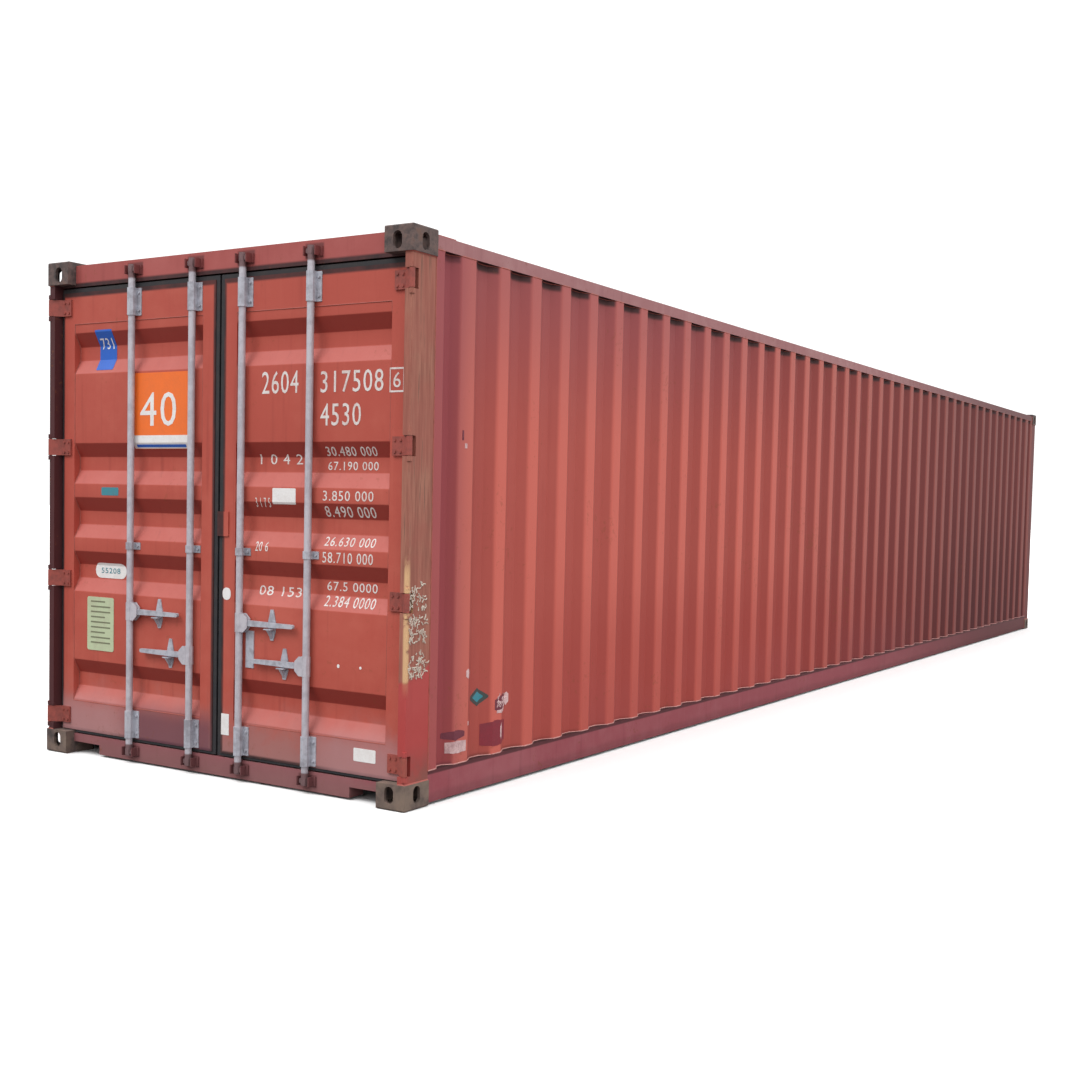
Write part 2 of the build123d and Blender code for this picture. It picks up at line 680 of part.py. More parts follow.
def door_gasket(side):
    """Rubber seal round the leaf: a flat body with a lip that meets the frame."""
    leaf_y = mirrored_span(side, LEAF_FREE_Y, LEAF_HINGE_Y)
    leaf_z = (LEAF_LOW_Z, LEAF_TOP_Z)
    lip = block(
        (rear(GASKET_LIP_NEAR), rear(GASKET_LIP_FAR)),
        mirrored_span(side, GASKET_FREE_Y, GASKET_HINGE_Y),
        (GASKET_LOW_Z, GASKET_TOP_Z),
    )
    body = block(
        (rear(GASKET_LIP_FAR), rear(GASKET_FAR)),
        mirrored_span(side, LEAF_FREE_Y - GASKET_BODY, LEAF_HINGE_Y + GASKET_BODY),
        (LEAF_LOW_Z - GASKET_BODY, LEAF_TOP_Z + GASKET_BODY),
    )
    over_casting = block(
        (rear(GASKET_LIP_NEAR), rear(GASKET_FAR)),
        mirrored_span(side, CASTING_INNER_Y - CASTING_CLEARANCE, GASKET_HINGE_Y),
        (GASKET_LOW_Z, LEAF_LOW_Z),
    )
    leaf = block((rear(GASKET_LIP_NEAR), rear(GASKET_FAR)), leaf_y, leaf_z)
    return lip + body - leaf - over_casting


def hinge_blade(side, z):
    """Forged hinge blade: knuckle, slanting neck and flat foot on the leaf."""
    pin = (rear(HINGE_DEPTH), HINGE_Y)
    face = rear(LEAF_DEPTH_NEAR)
    top = face - BLADE_THICKNESS
    outline = [
        (pin[0] - BLADE_NECK_OUTER[0], pin[1] - BLADE_NECK_OUTER[1]),
        (top, LEAF_HINGE_Y - BLADE_BEND_OUTER),
        (top, BLADE_END_Y),
        (face, BLADE_END_Y),
        (face, LEAF_HINGE_Y + BLADE_BEND_INNER),
        (pin[0] + BLADE_NECK_INNER[0], pin[1] + BLADE_NECK_INNER[1]),
    ]
    z_range = (z - BLADE_HEIGHT / 2, z + BLADE_HEIGHT / 2)
    blade = prism_along_z([(x, side * y) for x, y in outline], z_range)
    blade += rod_z(pin[0], side * pin[1], KNUCKLE_RADIUS, z_range)
    return blade - rod_z(pin[0], side * pin[1], KNUCKLE_BORE, z_range)


def door_hinges(side):
    """The four hinge blades of a door."""
    return [hinge_blade(side, z) for z in hinge_heights()]


# Locking gear

class Bar:
    """Place and handle of one locking bar."""

    def __init__(self, name, side, distance, handle_z, catch_reach):
        self.name = name
        self.side = side
        self.y = side * distance
        self.toward = -1 if distance == OUTER_BAR_Y else 1
        self.hand = side * self.toward
        self.handle_z = handle_z
        self.catch_reach = catch_reach

    def across(self, near, far):
        """Range across the width, counted from the bar towards its handle."""
        return span(self.y + self.hand * near, self.y + self.hand * far)


RIGHT_BARS = (
    Bar("right_inner_bar", -1, INNER_BAR_Y, 778.0, 195.0),
    Bar("right_outer_bar", -1, OUTER_BAR_Y, 598.0, 155.0),
)
LEFT_BARS = (
    Bar("left_inner_bar", 1, INNER_BAR_Y, 590.0, 155.0),
    Bar("left_outer_bar", 1, OUTER_BAR_Y, 785.0, 195.0),
)
BRACKET_BANDS = ((130.0, 270.0), (1102.0, 1138.0), (2290.0, 2428.0))


def forged_prism(bar, radius, z_range):
    """Eight sided forging round a bar."""
    outline = RegularPolygon(radius, FORGED_SIDES)
    return Pos(rear(BAR_DEPTH), bar.y, z_range[0]) * extrude(outline, amount=z_range[1] - z_range[0])


def on_leaf_rail(band):
    """Whether a height range lies on a rail of the leaf frame, not on the sheet."""
    return band[1] < LEAF_LOW_Z + LEAF_BOTTOM_RAIL or band[0] > LEAF_TOP_Z - LEAF_TOP_RAIL


def bar_bracket(bar, band):
    """Pressed bearing bracket of a bar: a crowned saddle on two flanges of unequal width."""
    centre = rear(BAR_DEPTH)
    face = rear(LEAF_DEPTH_NEAR)
    foot = face if on_leaf_rail(band) else face + PANEL_SET_BACK
    flange = foot - BRACKET_PLATE
    half = [
        (foot, 1.0),
        (flange, 1.0),
        (flange, 0.0),
        (centre - BEARING_CROWN, 0.0),
    ]
    outline = []
    for direction, width in ((-1, BRACKET_WIDE), (1, BRACKET_NARROW)):
        edge = bar.y + direction * BEARING_RADIUS
        wing = direction * (width - BEARING_RADIUS)
        rising = [(x, edge + share * wing) for x, share in half]
        rising.append((centre - BEARING_RADIUS, bar.y + direction * BEARING_CROWN))
        outline += rising if direction < 0 else rising[::-1]
    return prism_along_z(outline, band) - rod_z(centre, bar.y, BEARING_BORE, band)


def handle_catch(bar):
    """Catch on the sheet: a plate tapering both ways, a shelf under the handle and a slanting lug."""
    foot = rear(LEAF_DEPTH_NEAR + PANEL_SET_BACK)
    near = rear(BAR_DEPTH - HANDLE_THICKNESS)
    plate_x = (foot - CATCH_PLATE, foot)
    shelf_top = bar.handle_z - HANDLE_HEIGHT / 2 - CATCH_CLEARANCE
    shelf_low = shelf_top - CATCH_SHELF
    ear_z = bar.handle_z + HANDLE_HEIGHT / 2
    middle_y = bar.y + bar.hand * bar.catch_reach
    width = (middle_y - CATCH_WIDTH / 2, middle_y + CATCH_WIDTH / 2)
    tip = (middle_y - CATCH_TIP_WIDTH / 2, middle_y + CATCH_TIP_WIDTH / 2)
    lug_y = (middle_y - CATCH_LUG_WIDTH / 2, middle_y + CATCH_LUG_WIDTH / 2)
    plate = [
        (tip[0], shelf_low - CATCH_LUG_DROP),
        (width[0], shelf_low - CATCH_FOOT),
        (width[0], ear_z),
        (tip[0], ear_z + CATCH_EAR_TOP),
        (tip[1], ear_z + CATCH_EAR_TOP),
        (width[1], ear_z),
        (width[1], shelf_low - CATCH_FOOT),
        (tip[1], shelf_low - CATCH_LUG_DROP),
    ]
    catch = prism_along_x(plate, plate_x) + block((near, foot), width, (shelf_low, shelf_top))
    lug = [(near, shelf_low), (foot, shelf_low), (foot, shelf_low - CATCH_LUG_DROP)]
    return catch + prism_along_y(lug, lug_y)


def seal_plate(bar):
    """Upright plate beside a bar on the sheet."""
    foot = rear(LEAF_DEPTH_NEAR + PANEL_SET_BACK)
    return block((foot - CATCH_PLATE, foot), bar.across(*SEAL_PLATE_ACROSS), SEAL_PLATE_Z)


def door_brackets(bars):
    """All bearing brackets and handle catches on a door."""
    pieces = []
    for bar in bars:
        pieces += [bar_bracket(bar, band) for band in BRACKET_BANDS]
        pieces.append(handle_catch(bar))
    return pieces


def bar_cam(bar, band):
    """Forged cam on the end of a bar, with its tongue pointing along the handle."""
    centre = rear(BAR_DEPTH)
    tongue_x = (centre - CAM_TONGUE_HALF, centre + CAM_TONGUE_HALF)
    tongue_z = (band[0] + CAM_SHOULDER, band[1] - CAM_SHOULDER)
    return forged_prism(bar, CAM_RADIUS, band) + block(tongue_x, bar.across(0.0, CAM_REACH), tongue_z)


def disc_along_x(x_range, y, z, radius):
    """Round disc whose axis lies along the length."""
    plane = Plane(origin=(x_range[0], y, z), z_dir=(1, 0, 0))
    return extrude(plane * Circle(radius), amount=x_range[1] - x_range[0])


def locking_bar(bar):
    """Round bar with a cam on each end and the clevis that carries its handle."""
    centre = rear(BAR_DEPTH)
    body = rod_z(centre, bar.y, BAR_RADIUS, (BAR_LOW_Z, BAR_TOP_Z))
    body += bar_cam(bar, CAM_LOW_BAND)
    body += bar_cam(bar, CAM_TOP_BAND)
    collar_z = (bar.handle_z - COLLAR_HALF_HEIGHT, bar.handle_z + COLLAR_HALF_HEIGHT)
    body += forged_prism(bar, COLLAR_RADIUS, collar_z)
    inner = HANDLE_THICKNESS / 2 + CLEVIS_GAP
    pivot_y = bar.y + bar.hand * HANDLE_PIVOT
    shoulder_y = bar.y + bar.hand * CLEVIS_SHOULDER
    end_y = pivot_y + bar.hand * CLEVIS_EYE
    cheek = [
        (bar.y, collar_z[0]),
        (shoulder_y, collar_z[0]),
        (end_y, bar.handle_z - CLEVIS_EYE),
        (end_y, bar.handle_z + CLEVIS_EYE),
        (shoulder_y, collar_z[1]),
        (bar.y, collar_z[1]),
    ]
    for direction in (-1, 1):
        x_range = span(centre + direction * inner, centre + direction * (inner + CLEVIS_CHEEK))
        body += prism_along_x(cheek, x_range)
    pin_x = (centre - inner - PIN_SEAT, centre + inner + PIN_SEAT)
    return body + disc_along_x(pin_x, pivot_y, bar.handle_z, HANDLE_PIN)


def bar_handle(bar):
    """Forged handle with a round eye on its pivot, tapering to a rounded grip end."""
    x_range = (rear(BAR_DEPTH - HANDLE_THICKNESS / 2), rear(BAR_DEPTH + HANDLE_THICKNESS / 2))
    grip = GRIP_HEIGHT / 2
    stations = (
        (HANDLE_PIVOT, HANDLE_HEIGHT / 2),
        (HANDLE_NECK, HANDLE_HEIGHT / 2),
        (HANDLE_REACH - grip, grip),
    )
    upper = [(bar.y + bar.hand * reach, bar.handle_z + half) for reach, half in stations]
    lower = [(bar.y + bar.hand * reach, bar.handle_z - half) for reach, half in reversed(stations)]
    pivot_y = bar.y + bar.hand * HANDLE_PIVOT
    handle = prism_along_x(upper + lower, x_range)
    handle += disc_along_x(x_range, pivot_y, bar.handle_z, HANDLE_EYE)
    handle += disc_along_x(x_range, bar.y + bar.hand * (HANDLE_REACH - grip), bar.handle_z, grip)
    return handle - disc_along_x(x_range, pivot_y, bar.handle_z, HANDLE_BORE)


def build_nodes():
    """Every sub-part by its name."""
    nodes = {}
    for x_name, x_side in (("rear", -1), ("front", 1)):
        for y_name, y_side in (("right", -1), ("left", 1)):
            for z_name, z_side in (("lower", -1), ("upper", 1)):
                nodes[f"casting_{x_name}_{y_name}_{z_name}"] = casting(x_side, y_side, z_side)
    nodes["door_header"] = door_header()
    nodes["door_sill"] = door_sill()
    nodes["front_header"] = [front_header(), front_roof_plate()]
    nodes["front_sill"] = front_sill()
    nodes["front_wall"] = front_wall()
    nodes["roof"] = roof()
    nodes["floor_boards"] = floor_boards()
    nodes["cross_members"] = cross_members()
    nodes["gooseneck_tunnel"] = gooseneck_tunnel()
    for name, side, bars in (("right", -1, RIGHT_BARS), ("left", 1, LEFT_BARS)):
        nodes[f"rear_post_{name}"] = rear_post(side)
        nodes[f"front_post_{name}"] = front_post(side)
        nodes[f"top_rail_{name}"] = top_rail(side)
        nodes[f"bottom_rail_{name}"] = bottom_rail(side)
        nodes[f"side_wall_{name}"] = side_wall(side)
        nodes[f"{name}_door_frame"] = door_frame(side)
        nodes[f"{name}_door_panel"] = door_panel(side)
        nodes[f"{name}_door_gasket"] = door_gasket(side)
        nodes[f"{name}_door_hinges"] = door_hinges(side)
        nodes[f"{name}_door_brackets"] = door_brackets(bars)
        for bar in bars:
            nodes[bar.name] = locking_bar(bar)
            nodes[bar.name.replace("bar", "handle")] = bar_handle(bar)
    nodes["right_door_frame"] += lap_plate(-1)
    nodes["right_door_brackets"].append(seal_plate(RIGHT_BARS[0]))
    return nodes


for node, shape in build_nodes().items():
    body = Compound(children=shape) if isinstance(shape, list) else shape
    export_step(body, f"parts/{node}.step")
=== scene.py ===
"""Weathered forty foot freight container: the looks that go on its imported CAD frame.

Lengths are in metres and share the CAD's axes: +X runs from the doors to the front
end, +Y to the left seen from behind the doors, +Z up. Colours are linear.
"""

import logging
import math
import random
from dataclasses import dataclass
from enum import Enum
from functools import cache
from typing import Any, Iterable, Sequence

import bmesh
import bpy
import numpy as np
from mathutils import Matrix, Vector

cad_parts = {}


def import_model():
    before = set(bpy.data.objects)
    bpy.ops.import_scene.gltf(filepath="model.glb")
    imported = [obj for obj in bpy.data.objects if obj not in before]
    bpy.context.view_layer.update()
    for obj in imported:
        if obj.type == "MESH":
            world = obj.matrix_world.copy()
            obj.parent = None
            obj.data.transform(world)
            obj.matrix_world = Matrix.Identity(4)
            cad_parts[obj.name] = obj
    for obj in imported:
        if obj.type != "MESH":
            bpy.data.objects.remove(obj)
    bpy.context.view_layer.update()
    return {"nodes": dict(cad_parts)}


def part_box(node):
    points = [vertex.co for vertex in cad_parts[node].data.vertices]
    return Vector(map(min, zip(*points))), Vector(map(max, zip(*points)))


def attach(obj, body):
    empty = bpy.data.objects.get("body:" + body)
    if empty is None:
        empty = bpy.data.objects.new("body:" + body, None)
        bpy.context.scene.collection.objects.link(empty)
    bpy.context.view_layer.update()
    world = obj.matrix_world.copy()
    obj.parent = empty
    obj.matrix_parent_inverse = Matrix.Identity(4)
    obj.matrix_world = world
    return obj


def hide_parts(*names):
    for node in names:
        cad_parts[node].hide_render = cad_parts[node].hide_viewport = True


logging.basicConfig(level=logging.INFO, format="%(levelname)s %(message)s")
LOG = logging.getLogger("container")

Colour = tuple[float, float, float]
Point2 = tuple[float, float]
Point3 = tuple[float, float, float]

HALF_LENGTH = 6.096
FRAME_Y = 1.211
CASTING_INNER_X = 5.918
RAIL_TOP = 0.158
WALL_TOP = 2.508
# Depths of a door's frame and sheet behind the plane of the door end.
LEAF_FACE = 0.052
PANEL_FACE = 0.054
BAR_Y = (0.170, 0.603)


class Side(Enum):
    """A side of the container seen from behind the doors; the value is the sign of Y."""

    RIGHT = -1
    LEFT = 1

    @property
    def label(self) -> str:
        """Lower case name used in node names."""
        return self.name.lower()


# Node graphs


@dataclass(frozen=True)
class Field:
    """An output socket that takes part in arithmetic inside its own graph."""

    graph: "Graph"
    socket: bpy.types.NodeSocket

    def _math(self, operation: str, *values: Any) -> "Field":
        """Result of a Math node."""
        return self.graph.node("ShaderNodeMath", {"operation": operation}, values)

    def __add__(self, other: Any) -> "Field":
        """Sum."""
        return self._math("ADD", self, other)

    def __sub__(self, other: Any) -> "Field":
        """Difference."""
        return self._math("SUBTRACT", self, other)

    def __rsub__(self, other: Any) -> "Field":
        """Difference from a plain number."""
        return self._math("SUBTRACT", other, self)

    def __mul__(self, other: Any) -> "Field":
        """Product."""
        return self._math("MULTIPLY", self, other)

    __radd__ = __add__
    __rmul__ = __mul__

    def absolute(self) -> "Field":
        """Size of this value without its sign."""
        return self._math("ABSOLUTE", self)

    def higher(self, other: Any) -> "Field":
        """The larger of two values."""
        return self._math("MAXIMUM", self, other)

    def step(self, low: float, high: float) -> "Field":
        """Smooth rise from 0 at low to 1 at high; low may be above high."""
        values = {"Value": self, "From Min": low, "From Max": high}
        return self.graph.node("ShaderNodeMapRange", {"interpolation_type": "SMOOTHSTEP"}, values)

    def band(self, start: float, full: float, fading: float, end: float) -> "Field":
        """1 from full to fading, 0 before start and past end."""
        return self.step(start, full) * self.step(end, fading)

    def sibling(self, output: int | str) -> "Field":
        """Another output of the same node."""
        return Field(self.graph, self.socket.node.outputs[output])


def rgba(colour: Any) -> Any:
    """A plain colour with its alpha; a field stays as it is."""
    return colour if isinstance(colour, Field) else (*colour, 1.0)


class Graph:
    """Common node building for materials, the sky and geometry."""

    def __init__(self, tree: bpy.types.NodeTree) -> None:
        """Empties the tree that the nodes go into."""
        self.tree = tree
        tree.nodes.clear()

    def node(self, kind: str, settings: dict[str, Any] | None = None, values: Any = (),
             output: int | str = 0) -> Field:
        """Adds a node, sets its properties and fills or links its inputs.

        Args:
            kind: Blender's node type.
            settings: Properties of the node.
            values: Inputs by name or number, or in order from the first; a list links several fields to one.
            output: Which output to give.

        Returns:
            The chosen output.
        """
        node = self.tree.nodes.new(kind)
        for name, value in (settings or {}).items():
            setattr(node, name, value)
        for key, value in values.items() if isinstance(values, dict) else enumerate(values):
            for part in value if isinstance(value, list) else [value]:
                if isinstance(part, Field):
                    self.tree.links.new(part.socket, node.inputs[key])
                else:
                    node.inputs[key].default_value = part
        return Field(self, node.outputs[output])

    def separate(self, vector: Field) -> tuple[Field, Field, Field]:
        """The three components of a vector."""
        first = self.node("ShaderNodeSeparateXYZ", values=[vector])
        return first, first.sibling(1), first.sibling(2)

    def noise(self, place: Field, scale: float, detail: float, rough: float, seed: Any) -> Field:
        """Fractal noise between 0 and 1, mostly near the middle."""
        values = {"Vector": place, "W": seed, "Scale": scale, "Detail": detail, "Roughness": rough}
        return self.node("ShaderNodeTexNoise", {"noise_dimensions": "4D"}, values)

    def end(self, kind: str, result: Field) -> None:
        """Adds the output node of the tree and links the result to it."""
        self.tree.links.new(result.socket, self.tree.nodes.new(kind).inputs[0])


class Shader(Graph):
    """A material whose colour is laid on in coats, by places on the object."""

    def __init__(self, name: str, base: Colour) -> None:
        """Starts the material from one even colour."""
        self.material = bpy.data.materials.new(name)
        self.material.use_nodes = True
        super().__init__(self.material.node_tree)
        self.here = self.node("ShaderNodeTexCoord", output="Object")
        self.colour: Any = base

    def pattern(self, scale: float | Point3, detail: float, rough: float, seed: float) -> Field:
        """Noise over the object.

        Args:
            scale: Its scale, or one for each axis where it is drawn out.
            detail: Levels of finer noise.
            rough: Strength of the finer levels.
            seed: Place in the noise's fourth direction.

        Returns:
            The noise.
        """
        if isinstance(scale, tuple):
            drawn_out = self.node("ShaderNodeMapping", values={"Vector": self.here, "Scale": scale})
            return self.noise(drawn_out, 1.0, detail, rough, seed)
        return self.noise(self.here, scale, detail, rough, seed)

    def facing(self) -> tuple[Field, Field, Field]:
        """Components of the surface direction."""
        return self.separate(self.node("ShaderNodeNewGeometry", output="Normal"))

    def blend(self, share: Any, low: Any, high: Any) -> Field:
        """Colour between low and high."""
        values = {0: share, 6: rgba(low), 7: rgba(high)}
        return self.node("ShaderNodeMix", {"data_type": "RGBA"}, values, 2)

    def tint(self, share: Any, colour: Any) -> None:
        """Lays a colour over what is there, by its share."""
        self.colour = self.blend(share, self.colour, colour)

    def finish(self, roughness: Any, relief: Field | None = None, depth: float = 0.0, strength: float = 0.0,
               metallic: Any = 0.0, specular: float = 0.5) -> bpy.types.Material:
        """Ends the material with its surface.

        Args:
            roughness: Roughness over the surface.
            relief: Height of its fine relief.
            depth: How deep the relief is.
            strength: How much of the relief shows.
            metallic: Share of bare metal.
            specular: Level of the plain reflection.

        Returns:
            The finished material.
        """
        values = {"Base Color": rgba(self.colour), "Roughness": roughness, "Metallic": metallic,
                  "Specular IOR Level": specular}
        if relief:
            bump = {"Height": relief, "Distance": depth, "Strength": strength}
            values["Normal"] = self.node("ShaderNodeBump", values=bump)
        self.end("ShaderNodeOutputMaterial", self.node("ShaderNodeBsdfPrincipled", values=values))
        return self.material


# Finishes


@dataclass(frozen=True)
class Plain:
    """One even colour that is a little soiled."""

    name: str
    base: Colour
    soil: Colour
    soil_share: float
    roughness: float

    def material(self) -> bpy.types.Material:
        """Even colour, soiled in patches."""
        shader = Shader(self.name, self.base)
        patches = shader.pattern(14.0, 4.0, 0.65, 21.0)
        fine = shader.pattern(120.0, 2.0, 0.6, 23.0)
        soil = (patches * 0.65 + fine * 0.35).step(0.42, 0.66) * self.soil_share
        shader.tint(soil, self.soil)
        return shader.finish(soil * 0.3 + self.roughness, fine, 0.0004, 0.5)


@dataclass(frozen=True)
class Plywood:
    """Scuffed plywood whose grain runs along the container."""

    name: str
    early: Colour
    late: Colour
    scuffed: Colour

    def material(self) -> bpy.types.Material:
        """Long grain under broad patches of wear."""
        shader = Shader(self.name, self.early)
        grain = shader.pattern((1.2, 26.0, 26.0), 5.0, 0.7, 31.0)
        wear = shader.pattern(3.0, 4.0, 0.65, 33.0)
        shader.tint(grain.step(0.3, 0.7), self.late)
        shader.tint(wear.step(0.45, 0.7) * 0.6, self.scuffed)
        return shader.finish(wear * 0.3 + 0.5, grain, 0.0008, 0.7)


@dataclass(frozen=True)
class Metal:
    """Bare, galvanised or cast metal, with rust that starts in small patches."""

    name: str
    base: Colour
    dark: Colour
    rust: Colour
    rust_share: float
    metallic: float
    roughness: float
    grain: float
    seed: float
    dark_ends: float = 0.0
    dusty_foot: float = 0.0
    end_colour: Colour = (0.120, 0.038, 0.036)
    dust_colour: Colour = (0.225, 0.165, 0.125)

    def material(self) -> bpy.types.Material:
        """Mottled metal, its ends or its foot stained where the finish says so."""
        shader = Shader(self.name, self.dark)
        _, _, height = shader.separate(shader.here)
        mottle = shader.pattern(30.0, 4.0, 0.65, self.seed)
        broad = shader.pattern(4.0, 4.0, 0.6, self.seed + 2.0)
        grit = shader.pattern(160.0, 3.0, 0.6, self.seed + 4.0)
        shader.tint((mottle * 0.55 + broad * 0.45).step(0.38, 0.62), self.base)
        rust = (mottle * 0.5 + broad * 0.5).step(0.545, 0.62) * self.rust_share
        shader.tint(rust, self.rust)
        if self.dusty_foot:
            shader.tint(height.step(0.6, 0.3) * broad.step(0.38, 0.60) * self.dusty_foot, self.dust_colour)
        if self.dark_ends:
            ends = height.step(2.470, 2.482).higher(height.step(0.104, 0.094))
            shader.tint(ends * self.dark_ends, self.end_colour)
        rough = rust * 0.3 + self.roughness + grit * 0.08
        return shader.finish(rough, grit * 0.4 + mottle, self.grain, 0.7, (1.0 - rust) * self.metallic)


@dataclass(frozen=True)
class Paint:
    """Weathered marine paint on steel sheet and sections. The shares after rust_share are kinds of wear,
    painted shade and painted light that only some pieces have."""

    name: str
    base: Colour
    faded: Colour = (0.50, 0.128, 0.095)
    shade: Colour = (0.215, 0.038, 0.030)
    grime: Colour = (0.130, 0.085, 0.068)
    rust: Colour = (0.190, 0.068, 0.026)
    fade_share: float = 0.5
    streak_share: float = 0.45
    grime_share: float = 0.25
    grime_top: float = 0.55
    worn_ledges: float = 0.6
    rust_share: float = 0.35
    # Painted shade: share of deeper red on faces that look down.
    unfaded: float = 0.0
    # Painted light: share of paler colour on faces that look up.
    dusty: float = 0.0
    recess_shade: float = 0.0
    ledge_line: float = 0.0
    # Painted shade: share of near black on faces that look down.
    underside: float = 0.0
    keepers: float = 0.0
    far_shade: float = 0.0
    # Painted shade: share of black along the gaps round the doors.
    seal_stain: float = 0.0
    end_shade: float = 0.0
    roughness: float = 0.52
    seed: float = 0.0

    def material(self) -> bpy.types.Material:
        """The paint with all its wear."""
        return PaintCoat(self).build()


class PaintCoat(Shader):
    """The shader of one paint: each method lays one kind of wear, painted shade or painted light over the
    last.
    """

    def __init__(self, paint: Paint) -> None:
        """Sets out the places, directions and patterns that the wear and the painted light and shade follow.
        """
        super().__init__(paint.name, paint.base)
        self.paint = paint
        self.along, self.across, self.height = self.separate(self.here)
        self.rearward, _, self.upward = self.facing()
        self.aside = self.across.absolute()
        self.patches = self.pattern(1.1, 4.0, 0.6, paint.seed)
        self.fine = self.pattern(9.0, 4.0, 0.6, paint.seed + 3.0)
        self.runs = self.pattern((22.0, 22.0, 0.9), 3.0, 0.6, paint.seed + 5.0)

    def build(self) -> bpy.types.Material:
        """Lays every kind of wear, painted shade and painted light that this paint has, rust last."""
        paint = self.paint
        self.fading()
        dirt = self.dirt()
        for share, wear in (
            (paint.unfaded, self.unfaded),
            (paint.dusty, self.dusty),
            (paint.recess_shade, self.folds),
            (paint.recess_shade, self.lengthwise),
            (paint.ledge_line, self.ledge_line),
            (paint.underside, self.underside),
            (paint.keepers, self.keepers),
            (paint.far_shade, self.far_shade),
            (paint.seal_stain, self.seal_stain),
            (paint.seal_stain, self.door_foot),
            (paint.end_shade, self.end_shade),
        ):
            if share:
                wear()
        spots, rusted = self.rust()
        rough = rusted * 0.28 + dirt * 0.25 + paint.roughness + self.fine * 0.08
        return self.finish(rough, self.fine * 0.6 + spots * 0.25 + rusted * 0.5, 0.0012, 0.6, specular=0.30)

    def fading(self) -> None:
        """Faded patches, and dark and pale runs of water."""
        paint = self.paint
        self.tint((self.patches * 0.6 + self.fine * 0.4).step(0.42, 0.68) * paint.fade_share, paint.faded)
        self.tint(self.runs.step(0.54, 0.80) * paint.streak_share, paint.shade)
        self.tint(self.runs.step(0.44, 0.22) * (paint.streak_share * 0.5), paint.faded)

    def dirt(self) -> Field:
        """Splashes low down and dirt on ledges; gives their share."""
        paint = self.paint
        low = self.height.step(paint.grime_top, 0.02)
        splash = (self.pattern(5.0, 5.0, 0.65, paint.seed + 7.0) * 0.7 + low * 0.5).step(0.46, 0.78)
        ledge = self.upward.step(0.5, 0.95) * paint.worn_ledges
        dirt = (splash * low * paint.grime_share).higher(ledge * self.fine.step(0.25, 0.65))
        self.tint(dirt, paint.grime)
        return dirt

    def unfaded(self) -> None:
        """Painted shade: deeper red where a face looks down."""
        self.tint(self.upward.step(-0.15, -0.42) * self.paint.unfaded, (0.225, 0.020, 0.014))

    def dusty(self) -> None:
        """Painted light: paler where a face looks up a little, as lit from above."""
        # Painted light on upward faces, mottled by the fine noise.
        upward_lit = self.upward.step(0.18, 0.44) * (self.fine * 0.6 + 0.5) * self.paint.dusty
        self.tint(upward_lit, (0.520, 0.170, 0.155))

    def folds(self) -> None:
        """Painted light and shade on the folds: paler outer flats, darker recesses, and near black painted
        shade where a recess meets a rail.
        """
        proud = self.proud()
        hollow = (1.0 - proud) * self.paint.recess_shade
        # Painted light: the outer flats are made paler.
        self.tint(proud * 0.65, (0.540, 0.140, 0.110))
        # Painted shade in the recesses, deeper away from the doors.
        self.tint(hollow * (self.along.step(-4.8, -3.2) * 0.28 + 0.55), (0.215, 0.026, 0.023))
        mauve = self.height.step(1.6, 2.5) * self.along.step(-1.0, -4.0)
        self.tint(mauve * 0.45, (0.290, 0.075, 0.092))
        self.tint(self.height.step(0.60, 0.20) * self.patches.step(0.40, 0.60) * 0.5, (0.270, 0.062, 0.072))
        # Painted shade: near black under the top rail and at the foot of each recess.
        under_rail_shade = self.height.step(2.464, 2.484) * hollow
        foot = self.height.step(0.180, 0.164) * hollow * 0.7
        self.tint(under_rail_shade.higher(foot), (0.026, 0.008, 0.009))

    def proud(self) -> Field:
        """1 on the outer flats of a side wall, 0 in its recesses."""
        return self.aside.step(1.199, 1.2108)

    def lengthwise(self) -> None:
        """How a side wall changes along its length: purple by the doors, bright, then dull to the far end,
        where painted shade darkens the recesses.
        """
        proud = self.proud()
        near_doors = self.along.step(-5.62, -5.80) * (self.patches * 0.6 + 0.35)
        self.tint(near_doors, (0.255, 0.046, 0.064))
        bright = self.along.step(-5.75, -5.35) * self.along.step(0.6, -2.8) * self.height.step(2.6, 1.6)
        self.tint(bright * (proud * 0.30 + 0.30), (0.630, 0.130, 0.094))
        lower = self.height.step(1.15, 0.50) * self.along.step(-5.6, -4.6)
        self.tint(lower * 0.35, (0.300, 0.030, 0.026))
        # Towards the far end the recesses turn near black, which is painted shade, and the outer flats
        # darker.
        far = self.along.step(-2.6, 3.8)
        self.tint(far * (1.0 - proud) * (self.height.step(1.9, 0.3) * 0.25 + 0.62), (0.052, 0.013, 0.015))
        self.tint(far * proud * 0.75, (0.130, 0.045, 0.042))

    def ledge_line(self) -> None:
        """Black line along the top of the bottom rail, under the wall's foot."""
        line = self.height.step(0.137, 0.145) * self.height.step(0.30, 0.25)
        self.tint(line * (self.fine * 0.5 + 0.6) * self.paint.ledge_line, (0.028, 0.008, 0.010))

    def underside(self) -> None:
        """Painted shade: nearly black faces that look down."""
        self.tint(self.upward.step(-0.60, -0.90) * self.paint.underside, (0.022, 0.006, 0.008))

    def keepers(self) -> None:
        """Dark stains round the keepers of the four bars."""
        near = [(self.aside - y).absolute().step(0.064, 0.050) for y in BAR_Y]
        upper = self.height.band(2.482, 2.494, 2.552, 2.566)
        lower = self.height.band(0.024, 0.036, 0.084, 0.094)
        stain = near[0].higher(near[1]) * upper.higher(lower) * (self.fine * 0.5 + 0.6)
        self.tint(stain * self.paint.keepers, (0.070, 0.018, 0.020))

    def far_shade(self) -> None:
        """Dulls a rail towards the far end."""
        self.tint(self.along.step(-1.0, 5.0) * self.paint.far_shade, (0.090, 0.028, 0.030))

